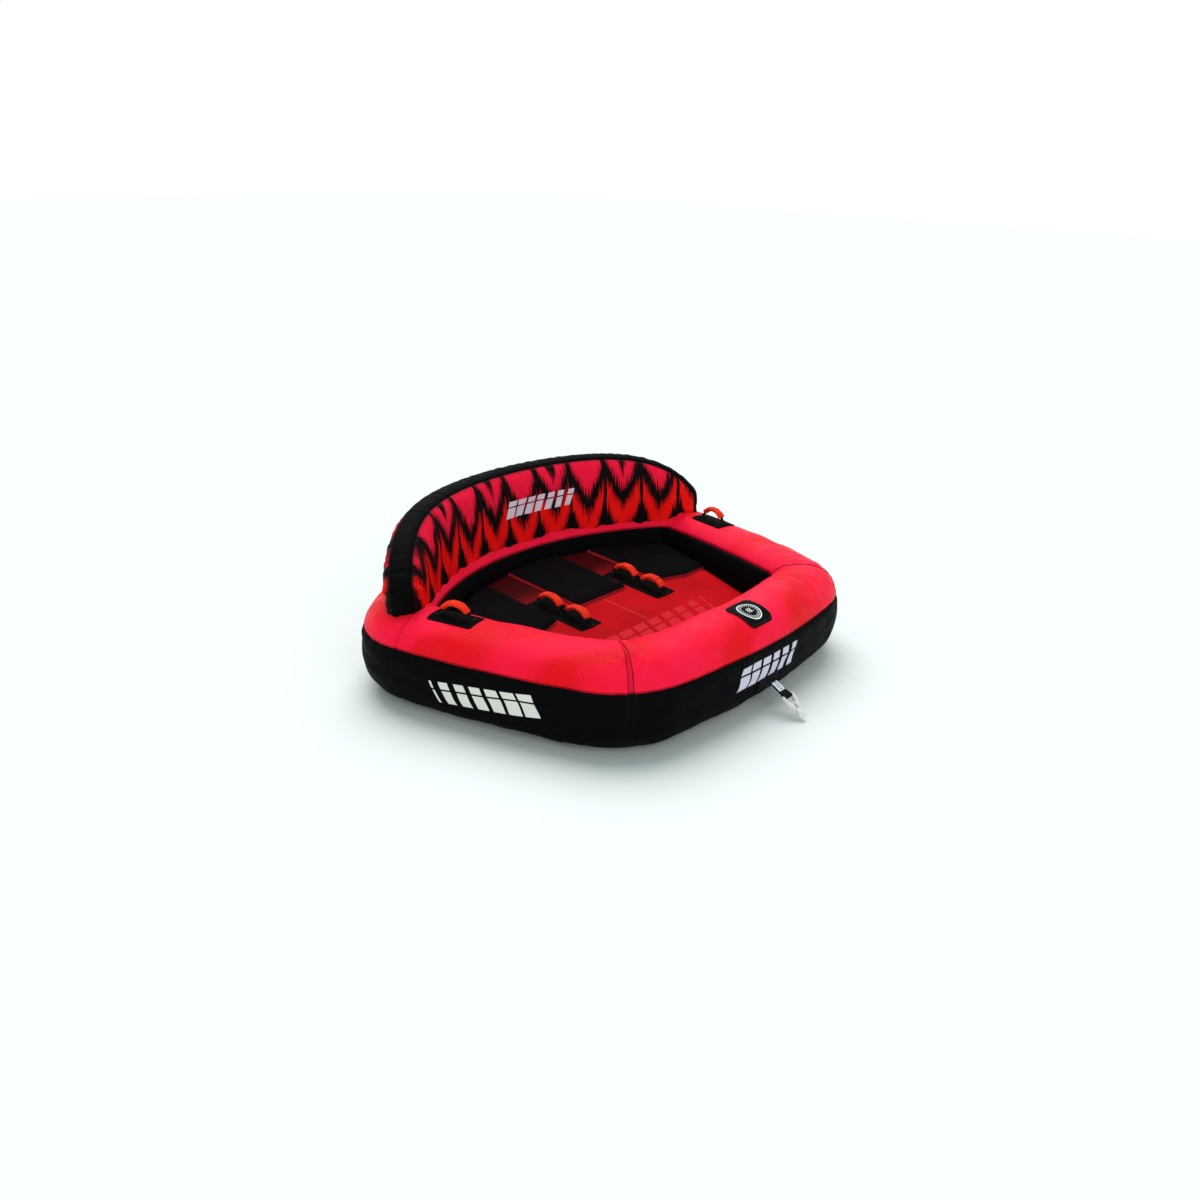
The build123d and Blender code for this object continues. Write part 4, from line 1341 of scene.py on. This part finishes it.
def build_handles():
    """Two stations with two handles each on the floor, one handle on each side of the ring."""
    grip, strap = grip_fabric(), BLACK_WEB
    pad_t, station_x, station_y = 0.004, 0.242, 0.0195
    along = np.array([0, math.cos(FLOOR_RAKE), math.sin(FLOOR_RAKE)])
    for word, side in (("left", 1), ("right", -1)):
        grid = rounded_grid(0.062, 0.1515, 0.010, 44, 96)
        plan = grid + np.array([side * station_x, station_y])
        plan[..., 1] = SHIFT_Y + plan[..., 1] * along[1]
        pad = cushion("handle_patch_floor_" + word, plan, 0.0034, 0.0004, 0.0030, dimple(120 + side, 0.0005))
        dress(pad, PAD_FABRIC, "tube", ["floor_handle_pad_" + word])
        centre = np.array([side * station_x, SHIFT_Y, FLOOR_Z]) + FLOOR_UP * pad_t + along * station_y
        for offset, place in ((-0.072, "front"), (0.072, "rear")):
            node = "floor_handle_" + word + "_" + place
            spot = Spot(centre + along * offset, along, FLOOR_UP)
            build_handle(node, node, spot, 200 + 7 * side + (offset > 0), grip, strap)
        level = Spot(centre, along, FLOOR_UP)
        places = [(-0.1412, 0.006), (0, 0.012), (0.1412, 0.006)]
        build_tabs("anchor_tabs_floor_" + word, "floor_handle_tabs_" + word, level, places,
                   lambda p: 0 * p[..., 0], strap)

    cx, cy, radius, h0, _ = SEGMENTS[2]
    heading = h0 + SIDE_PAD_TURN
    top = tube_top(2)
    for word, side in (("left", 1), ("right", -1)):
        reach = radius + 0.004
        origin = np.array([side * (cx + reach * math.sin(heading)), cy + reach * math.cos(heading), 0])
        along = np.array([side * math.cos(heading), -math.sin(heading), 0])
        flat = Spot(origin, along, (0, 0, 1))
        grid = rounded_grid(0.095, 0.052, 0.012, 84, 46)
        plan = flat.at(lifted(grid, 0))[..., :2]
        relief = dimple(130 + side, 0.0005)
        pad = cushion("handle_patch_side_" + word, plan, 0.0034, 0.0004, 0.0030, relief, base=top)
        dress(pad, PAD_FABRIC, "tube", ["side_handle_pad_" + word])
        seat = Spot(origin + np.array([0, 0, TUBE_TOP + pad_t]), along, (0, 0, 1))
        node = "side_handle_" + word
        build_handle(node, node, seat, 230 + 7 * side, grip, strap)

        def drape(p, flat=flat):
            return top(flat.at(lifted(p, 0))[..., :2]) - TUBE_TOP

        build_tabs("anchor_tabs_side_" + word, "side_handle_tabs_" + word, seat,
                   [(-0.0692, 0.006), (0.0692, 0.006)], drape, strap)


build_handles()


# ---------------------------------------------------------------- valve flap and valves
# The CAD draws the section with corner arcs of this radius, centred this far out and up.
CORNER_R, CORNER_OUT, CORNER_UP = 0.148, 0.0125, 0.0363
RING_FRONT_Y = SEGMENTS[4][1] - SEGMENTS[4][2]
FLAP_TILT = math.asin((FLAP_OFF - CORNER_OUT) / CORNER_R)
FLAP_Y = RING_FRONT_Y - CORNER_OUT - CORNER_R * math.sin(FLAP_TILT)
FLAP_MIDDLE_Y = FLAP_Y - 0.001


def flap_fabric():
    """Black flap with a raised white ring emblem made of plain ticks and bars."""
    m = Shade("flap_black", rough=0.6, specular=0.035)
    x, y, upper = m.read("cloth")
    rim, _, _ = m.read("edge")
    far = m.math("SQRT", x * x + y * y)
    turn = m.math("ARCTAN2", y, x)

    def hoop(radius, half):
        return m.ramp(abs(far - radius), half + 0.0003, half - 0.0003)

    turns = m.fold(turn + TAU, TAU / 24)
    ticks = hoop(0.0345, 0.0034) * m.ramp(turns, 0.62, 0.74)
    lean = x - y * 0.35 + 0.096
    inner = m.ramp(abs(x), 0.0135, 0.013) * m.ramp(abs(y), 0.0125, 0.012)
    inner = m.ramp(m.fold(lean, 0.009), 0.45, 0.58) * inner
    mark = m.most(hoop(0.0475, 0.0024), hoop(0.0405, 0.0007), ticks, inner)
    mark = mark * upper
    wear, tone = m.worn(26.0, 0.55, 0.85)
    thread = stitches(m, rim, x + y, 0.0055, 0.005, 0.0007)
    tone = m.mix(thread * 0.6, tone, (0.06, 0.06, 0.065))
    tone = m.mix(mark, tone, (0.86, 0.87, 0.88))
    grain = m.weave(x, y, 0.0016)
    low = m.bump(grain, 0.0004, 0.35, m.bump(thread, 0.0008, 0.5))
    return m.done(tone, m.ramp(wear, -0.7, 1.6), m.bump(mark, 0.0006, 0.6, low))


def moulded(name, dark, light, rough, grain=220.0):
    """Moulded plastic with a fine spark-eroded grain and slight tone change."""
    m = Shade(name, rough=rough, specular=0.45)
    fade = m.noise(m.place(), 25.0, 4.0)
    tone = m.mix(m.ramp(fade, 0.35, 0.7), dark, light)
    surface = fade * 0.3 + (rough - 0.15)
    return m.done(tone, surface, m.bump(m.noise(m.place(), grain, 2.0), 0.0003, 0.3))


def build_flap():
    """The flap over the ring valve, and the finish of the three valves."""
    top = tube_top(4)
    grid = rounded_grid(0.075, 0.0673, 0.026, 120, 108)
    plan = np.stack([grid[..., 0], grid[..., 1] + FLAP_MIDDLE_Y], -1)
    near, _ = gap_to(plan, rim_of(plan))

    def relief(place, gap):
        return 0.0004 * lumps(lifted(place, 0), 140, 0.04, 0.10) - 0.0006 * bell(gap - 0.0055, 0.0016)

    piece = cushion("valve_flap_cover", plan, 0.0030, 0.0002, 0.0030, relief,
                    base=lambda p: top(p) + 0.0012 + 0.0018 * bell(near, 0.010))
    values = np.zeros(len(piece.data.vertices) * 3, np.float32)
    layer = piece.data.attributes["cloth"].data
    layer.foreach_get("vector", values)
    values = values.reshape(-1, 3)
    values[:, 1] = (values[:, 1] - FLAP_MIDDLE_Y) * 1.03
    layer.foreach_set("vector", values.ravel())
    dress(piece, flap_fabric(), "valve_flap", ["valve_flap"])

    bodies = moulded("valve_grey", (0.045, 0.047, 0.050), (0.070, 0.072, 0.076), 0.42)
    caps = moulded("valve_cap_black", (0.010, 0.010, 0.011), (0.022, 0.022, 0.024), 0.38)
    for where in ("ring_valve", "backrest_valve", "floor_valve"):
        for part, finish in (("_body", bodies), ("_cap", caps)):
            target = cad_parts[where + part]
            target.data.materials.clear()
            target.data.materials.append(finish)


def binding(name, spot, radius, wide, tall):
    """A rounded ring of webbing sewn round an opening in the cover."""
    rows, cols = 96, 14
    angles = [np.linspace(0, TAU, count, endpoint=False) for count in (rows, cols)]
    turn, roll = np.meshgrid(*angles, indexing="ij")
    reach = radius + wide * np.cos(roll)
    lift = tall * np.sin(roll) * (1 + 0.12 * np.sin(turn * 48))
    verts = spot.at(np.stack([reach * np.cos(turn), reach * np.sin(turn), lift], -1))
    cloth = triples(turn * radius, wide * np.cos(roll), 0)
    piece = mesh_object(name, verts.reshape(-1, 3), grid_faces(rows, cols, True, True), cloth)
    dress(fix_normals(piece), BLACK_WEB, "tube", ())


def build_bindings():
    """Bindings of the two openings through which valves show."""
    tilt = (0, -math.sin(FLAP_TILT), math.cos(FLAP_TILT))
    top = TUBE_TOP - CORNER_R * (1 - math.cos(FLAP_TILT))
    face = np.array([0, FLAP_Y, top]) - 0.0021 * np.array(tilt)
    binding("ring_valve_binding", Spot(face, (1, 0, 0), tilt), 0.0300, 0.0030, 0.0012)
    face = (0, BACK_Y + BACK_R + 0.0715, 0.432)
    binding("backrest_valve_binding", Spot(face, (1, 0, 0), (0, 1, 0)), 0.0305, 0.0034, 0.0020)


build_flap()
build_bindings()


# ---------------------------------------------------------------- tow gear
TOW_Z = 0.122                      # height of the strap's sewn end
TOW_DROP = math.radians(30.0)
TOW_REACH = 0.092                  # from the sewn end to the connector's bar
TOW_WIDE, TOW_THICK = 0.046, 0.0019
TAG_MIDDLE = 0.040                 # middle of the woven label, along the strap
LOW_CORNER = TUBE_Z - CORNER_UP
TOW_FACE = CORNER_OUT + math.sqrt(CORNER_R ** 2 - (LOW_CORNER - TOW_Z) ** 2)
TOW_Y = RING_FRONT_Y - TOW_FACE - 0.006
BAR_Y = TOW_Y - TOW_REACH * math.cos(TOW_DROP)
BAR_Z = TOW_Z - TOW_REACH * math.sin(TOW_DROP)
CLIP_DROP = math.radians(38.0)


def strip_along(name, path, ups, width, thick):
    """A webbing strip along a path, rounded at its edges, with its run in cloth."""
    path = evenly(path, 90)
    ups = np.array([ups(p) for p in path])
    a, b = width / 2, thick / 2
    outline = []
    for u in np.linspace(-1, 1, 13):
        outline.append((u * a, b * (1 - 0.55 * abs(u) ** 10)))
    outline += [(x, -y) for x, y in outline[::-1]]
    verts, faces = sweep_mesh(path, ups, lambda k: outline)
    run = np.repeat(np.linspace(0, run_along(path)[-1], len(path)), len(outline))
    across = np.tile([o[0] for o in outline], len(path))
    return fix_normals(mesh_object(name, verts, faces, triples(run, across, 0)))


def build_tow():
    """The tow strap, folded round the bar of its connector, and what belongs to it."""
    spot = Spot((0, TOW_Y, TOW_Z), (0, -math.cos(TOW_DROP), -math.sin(TOW_DROP)),
                (0, -math.sin(TOW_DROP), math.cos(TOW_DROP)))
    loop_r = 0.0064
    path = [(-0.0015, 0, 0.0010), (0.02, 0, 0.0012), (0.07, 0, 0.0016)]
    for turn in np.radians(np.linspace(105, -105, 30)):
        path.append((TOW_REACH + loop_r * math.cos(turn), 0, loop_r * math.sin(turn)))
    path += [(0.070, 0, -0.0016), (0.045, 0, -0.0012), (0.022, 0, -0.0011)]
    path = spot.at(np.array(path))
    middle = spot.at(np.array([TOW_REACH, 0, 0]))

    def outward(p):
        local = p - spot.o
        x, z = local @ spot.x, local @ spot.z
        if x > TOW_REACH - 0.012:
            way = p - middle
            return way - spot.y * (way @ spot.y)
        return spot.z if z >= 0 else -spot.z

    strap = strip_along("tow_webbing", path, outward, TOW_WIDE, TOW_THICK)
    dress(strap, BLACK_WEB, "tow_strap", ["tow_strap"])

    build_tag(spot)
    build_tow_patch()
    build_connector()


def build_tag(spot):
    """The woven label on the strap, with plain blocks in place of its marks."""
    m = Shade("tag_woven", rough=0.55, specular=0.3)
    x, y, _ = m.read("cloth")
    blocks = m.ramp(m.fold(x + 0.1, 0.011), 0.35, 0.42) * m.ramp(abs(y - 0.001), 0.0095, 0.009)
    rows = m.ramp(m.fold(y + 0.1, 0.0072), 0.2, 0.3)
    tone = m.mix(m.noise(m.place(), 120.0), (0.66, 0.68, 0.74), (0.74, 0.76, 0.82))
    tone = m.mix(blocks * rows, tone, (0.2, 0.24, 0.4))
    tone = m.mix(m.ramp(abs(y), 0.0182, 0.0186), tone, (0.5, 0.52, 0.6))
    m.done(tone, 0.55, m.bump(m.weave(x, y, 0.0009), 0.0003, 0.4))
    grid = rounded_grid(0.022, 0.019, 0.0015, 40, 34)
    lift = 0.0026 + 0.0009 * bell(grid[..., 0] - 0.006, 0.02) + 0.0003 * np.sin(grid[..., 1] * 220)
    plan = grid + np.array([TAG_MIDDLE, 0])
    verts, faces = shell(*[spot.at(lifted(plan, level)) for level in (lift, lift - 0.0006)])
    cloth = lifted(grid, 0).reshape(-1, 3)
    tag = mesh_object("tow_label_blank", verts, faces, np.concatenate([cloth] * 2))
    dress(fix_normals(tag), m.mat, "tow_strap", ["tow_tag"])


def build_tow_patch():
    """Doubled webbing on the band that spreads the pull, boxed in by its stitching."""
    strip = webbing("patch_web", (0.0030, 0.0030, 0.0034), (0.012, 0.012, 0.014))
    half, half_z, cols, rows = 0.062, (TOW_PATCH_Z[1] - TOW_PATCH_Z[0]) / 2, 40, 36
    span = np.linspace(HALF_RUN - half, HALF_RUN + half, cols)
    low, _ = even_angles(-0.9, 0.1, 400)
    c, z, nc, nz = section(low)
    keep = (z > TOW_PATCH_Z[0]) & (z < TOW_PATCH_Z[1])
    pick = np.flatnonzero(keep)[np.linspace(0, keep.sum() - 1, rows).astype(int)]
    c, z, nc, nz = [v[pick] for v in (c, z, nc, nz)]
    point, normal = ring_at(span)
    layers = []
    for out in (0.0040, 0.0004):
        plan = point[:, None] + normal[:, None] * (c + out * nc)[None, :, None]
        layers.append(lifted(plan, z + out * nz))
    u, v = np.meshgrid((span - HALF_RUN) / half, np.linspace(-1, 1, rows), indexing="ij")
    edge_gap = np.minimum((1 - np.abs(u)) * half, (1 - np.abs(v)) * half_z)
    box = bell(edge_gap - 0.006, 0.0016)
    layers[0][..., :2] -= normal[:, None] * (0.0006 * box)[..., None]
    cloth = triples(half_z * v, half * u, 0)
    verts, faces = shell(*layers)
    patch = mesh_object("tow_reinforcement", verts, faces, np.concatenate([cloth] * 2))
    dress(fix_normals(patch), strip, "tube", ["tow_patch"])


ARM_LINE = [
    (0.0292, -0.0052), (0.0296, 0.006), (0.0286, 0.017), (0.0246, 0.029), (0.0188, 0.042), (0.0150, 0.054),
]


def build_connector():
    """Fork-shaped quick connector: two flared arms, a cross bar, a waist with a slot and a bulb."""
    x_way = np.array([1.0, 0, 0])
    down = np.array([0, -math.cos(CLIP_DROP), -math.sin(CLIP_DROP)])
    spot = Spot((0, BAR_Y, BAR_Z), x_way, np.cross(x_way, down))
    work = bmesh.new()

    def slab(outline, thick):
        low = [work.verts.new((x, y, -thick / 2)) for x, y in outline]
        high = [work.verts.new((x, y, thick / 2)) for x, y in outline]
        work.faces.new(low[::-1])
        work.faces.new(high)
        for k in range(len(outline)):
            j = (k + 1) % len(outline)
            work.faces.new((low[k], low[j], high[j], high[k]))

    def bead(path, radius_a, radius_b):
        """A round rod along a path, its radius running from one value to another."""
        path = np.array(path, float)
        steps = np.linspace(0, 1, len(path))
        tangent = np.gradient(path, axis=0)
        rings = []
        for p, t, share in zip(path, tangent, steps):
            t = t / np.linalg.norm(t)
            side = np.cross(t, (0, 0, 1.0))
            side /= np.linalg.norm(side)
            up = np.cross(side, t)
            r = radius_a + (radius_b - radius_a) * min(1.0, 2.4 * share)
            around = np.linspace(0, TAU, 24, endpoint=False)
            rings.append([work.verts.new(p + r * (math.cos(a) * side + math.sin(a) * up)) for a in around])
        for a, b in zip(rings, rings[1:]):
            for k in range(24):
                j = (k + 1) % 24
                work.faces.new((a[k], a[j], b[j], b[k]))
        work.faces.new(rings[0][::-1])
        work.faces.new(rings[-1])

    def ball(centre, radius, squeeze):
        made = bmesh.ops.create_icosphere(work, subdivisions=4, radius=radius)
        for v in made["verts"]:
            v.co = Vector((v.co.x + centre[0], v.co.y + centre[1], v.co.z * squeeze))

    for side in (-1, 1):
        arm = [(side * x, y, 0) for x, y in ARM_LINE]
        bead(evenly(arm, 20), 0.0066, 0.0100)
        ball((side * 0.0292, -0.0030), 0.0062, 1.15)
        web = [(side * x, y) for x, y in ((0.0110, 0.034), (0.0250, 0.028), (0.0160, 0.062), (0.0110, 0.062))]
        slab(web if side > 0 else web[::-1], 0.0135)
    bead([(-0.029, 0, 0), (0, 0, 0), (0.029, 0, 0)], 0.0043, 0.0043)
    # plate by the bar, body with a slight taper, and the two cheeks of the slot
    for (x0, x1, near), (x2, x3, far), thick in (
        ((-0.0150, 0.0150, 0.0290), (-0.0150, 0.0150, 0.0335), 0.0120),
        ((-0.0150, 0.0150, 0.0555), (-0.0145, 0.0145, 0.0760), 0.0150),
        ((-0.0150, -0.0062, 0.0320), (-0.0150, -0.0062, 0.0570), 0.0115),
        ((0.0062, 0.0150, 0.0320), (0.0062, 0.0150, 0.0570), 0.0115),
    ):
        slab([(x0, near), (x1, near), (x3, far), (x2, far)], thick)
    ball((0, 0.0800), 0.0190, 0.66)
    mesh = bpy.data.meshes.new("tow_connector_body")
    work.to_mesh(mesh)
    work.free()
    obj = bpy.data.objects.new("tow_connector_body", mesh)
    bpy.context.scene.collection.objects.link(obj)
    remesh = obj.modifiers.new("union", "REMESH")
    remesh.mode = "VOXEL"
    remesh.voxel_size = 0.0009
    smooth = obj.modifiers.new("smooth", "SMOOTH")
    smooth.factor, smooth.iterations = 0.5, 7
    apply_modifiers(obj)
    co = np.array([v.co for v in obj.data.vertices])
    obj.data.vertices.foreach_set("co", spot.at(co).astype(np.float32).ravel())
    obj.data.polygons.foreach_set("use_smooth", [True] * len(obj.data.polygons))
    obj.data.update()
    finish = moulded("connector_pale", (0.62, 0.58, 0.59), (0.70, 0.66, 0.67), 0.40)
    dress(obj, finish, "tow_connector", ["tow_connector"])


def apply_modifiers(obj):
    """Replace an object's mesh by its evaluated one and drop the modifiers."""
    graph = bpy.context.evaluated_depsgraph_get()
    graph.update()
    made = bpy.data.meshes.new_from_object(obj.evaluated_get(graph))
    obj.modifiers.clear()
    obj.data = made
    made.name = obj.name


build_tow()


# ---------------------------------------------------------------- zip under the backrest
def build_zip():
    """Tape with teeth along the band behind the backrest."""
    tape = Shade("zip_tape_black", rough=0.6, specular=0.25)
    a, w, _ = tape.read("cloth")
    wear, tone = tape.worn(60.0, 0.4, 0.8, 4.0, 0.5)
    thread = stitches(tape, abs(w), a, 0.0105, 0.005, 0.0006)
    tone = tape.mix(thread * 0.6, tone, (0.06, 0.06, 0.065))
    tape.done(tone, tape.ramp(wear, -0.8, 1.5), tape.bump(tape.fold(a, 0.0014), 0.0003, 0.5))

    half = ZIP_HALF
    span = np.linspace(-half, half, 360)
    heights = np.linspace(0.151, 0.179, 15)
    point, normal = ring_at(span)
    bow = 0.0002 * ripples(span, 150, 0.05, 0.12)
    layers = []
    for out in (0.0009 + bow, 0.0001 + 0 * bow):
        reach = (TUBE_A + out)[:, None, None] + 0 * heights[:, None]
        layers.append(lifted(point[:, None] + normal[:, None] * reach, heights))
    ss, ww = np.meshgrid(span, heights - ZIP_Z, indexing="ij")
    cloth = triples(ss, ww, 0)
    verts, faces = shell(*layers)
    verts = verts.tolist()
    cloth = np.concatenate([cloth] * 2).tolist()
    for k, s in enumerate(np.arange(-half + 0.004, half - 0.004, 0.0036)):
        p, nrm = ring_at(s)
        origin = (*(p + nrm * (TUBE_A + 0.0009)), ZIP_Z)
        spot = Spot(origin, (nrm[1], -nrm[0], 0), (*nrm, 0))
        first = len(verts)
        shift = 0.0006 * (1 if k % 2 else -1)
        low, high = (-0.0011, -0.0026 + shift, -0.0002), (0.0011, 0.0026 + shift, 0.0011)
        box_mesh(verts, faces, spot, low, high, 0.0004)
        cloth.extend([[s, 0.0, 0.0]] * (len(verts) - first))
    piece = mesh_object("zip_chain", verts, faces, cloth)
    dress(fix_normals(piece), tape.mat, "tube", ["zip_tape"])
    build_zip_slider()


def build_zip_slider():
    """Slider, bridge and open pull of the zip, from chamfered blocks."""
    metal = Shade("zip_metal", rough=0.32, specular=0.5, metallic=1.0)
    fade = metal.noise(metal.place(), 120.0, 4.0)
    metal.done(metal.mix(fade, (0.36, 0.36, 0.37), (0.52, 0.52, 0.53)), metal.ramp(fade, -0.4, 2.2),
               metal.bump(metal.noise(metal.place(), 700.0), 0.0002, 0.3))
    p, nrm = ring_at(ZIP_SLIDER_RUN)
    spot = Spot((*(p + nrm * (TUBE_A + 0.0014)), ZIP_Z), (nrm[1], -nrm[0], 0), (*nrm, 0))
    blocks = [
        ((-0.0068, -0.0052, 0.0006), (0.0068, 0.0052, 0.0022), 0.0006),
        ((-0.0050, -0.0022, 0.0020), (0.0050, 0.0022, 0.0044), 0.0007),
        ((-0.0012, -0.0055, 0.0040), (0.0012, 0.0040, 0.0062), 0.0005),
        ((-0.0045, -0.0300, 0.0042), (-0.0028, -0.0055, 0.0060), 0.0005),
        ((0.0028, -0.0300, 0.0042), (0.0045, -0.0055, 0.0060), 0.0005),
        ((-0.0045, -0.0300, 0.0042), (0.0045, -0.0282, 0.0060), 0.0005),
        ((-0.0045, -0.0072, 0.0042), (0.0045, -0.0055, 0.0060), 0.0005),
        ((-0.0030, -0.0282, 0.0042), (0.0030, -0.0200, 0.0060), 0.0005),
    ]
    verts, faces = [], []
    for low, high, bevel in blocks:
        box_mesh(verts, faces, spot, low, high, bevel)
    slider = mesh_object("zip_slider_pull", verts, faces)
    slider.data.polygons.foreach_set("use_smooth", [False] * len(slider.data.polygons))
    dress(fix_normals(slider), metal.mat, "zip_slider", ["zip_slider"])


build_zip()


# ---------------------------------------------------------------- underside
def build_bottom():
    """Bottom panel: tough black fabric under ring and floor, with a welded edge and a valve hole."""
    cols = 300
    point, normal = ring_at(np.linspace(0, LOOP, cols, endpoint=False))
    offsets = np.concatenate([[0.0495], np.linspace(0.048, -0.10, 8)])
    rings = [point + normal * offset for offset in offsets]
    centre = np.array([0.0, 0.3])
    turn = np.arctan2(*(rings[-1] - centre).T[::-1])
    hole = centre + 0.0306 * np.stack([np.cos(turn), np.sin(turn)], -1)
    for share in np.linspace(0, 1, 24)[1:]:
        share = share ** 0.9
        rings.append(rings[len(offsets) - 1] * (1 - share) + hole * share)
    plan = np.array(rings)
    spread = lifted(plan, 0)
    sag = 0.0003 * lumps(spread, 160, 0.12, 0.4)
    verts = np.concatenate([lifted(plan, 0.0005 + np.abs(sag)), lifted(plan, 0.0019)])
    rows = len(plan)
    n = rows * cols
    faces = grid_faces(rows, cols, wrap_cols=True)
    faces += [tuple(n + k for k in f[::-1]) for f in faces]
    for base in (0, (rows - 1) * cols):
        for k in range(cols):
            j = (k + 1) % cols
            faces.append((base + k, base + j, n + base + j, n + base + k))
    cloth = np.concatenate([spread.reshape(-1, 3)] * 2)
    edge = triples(np.repeat(np.linspace(0, 0.3, rows), cols), 1, 0)
    panel = mesh_object("underside_panel", verts.reshape(-1, 3), faces, cloth, np.concatenate([edge] * 2))
    dress(fix_normals(panel), BLACK_COVER, "tube", ["cover_bottom"])


build_bottom()
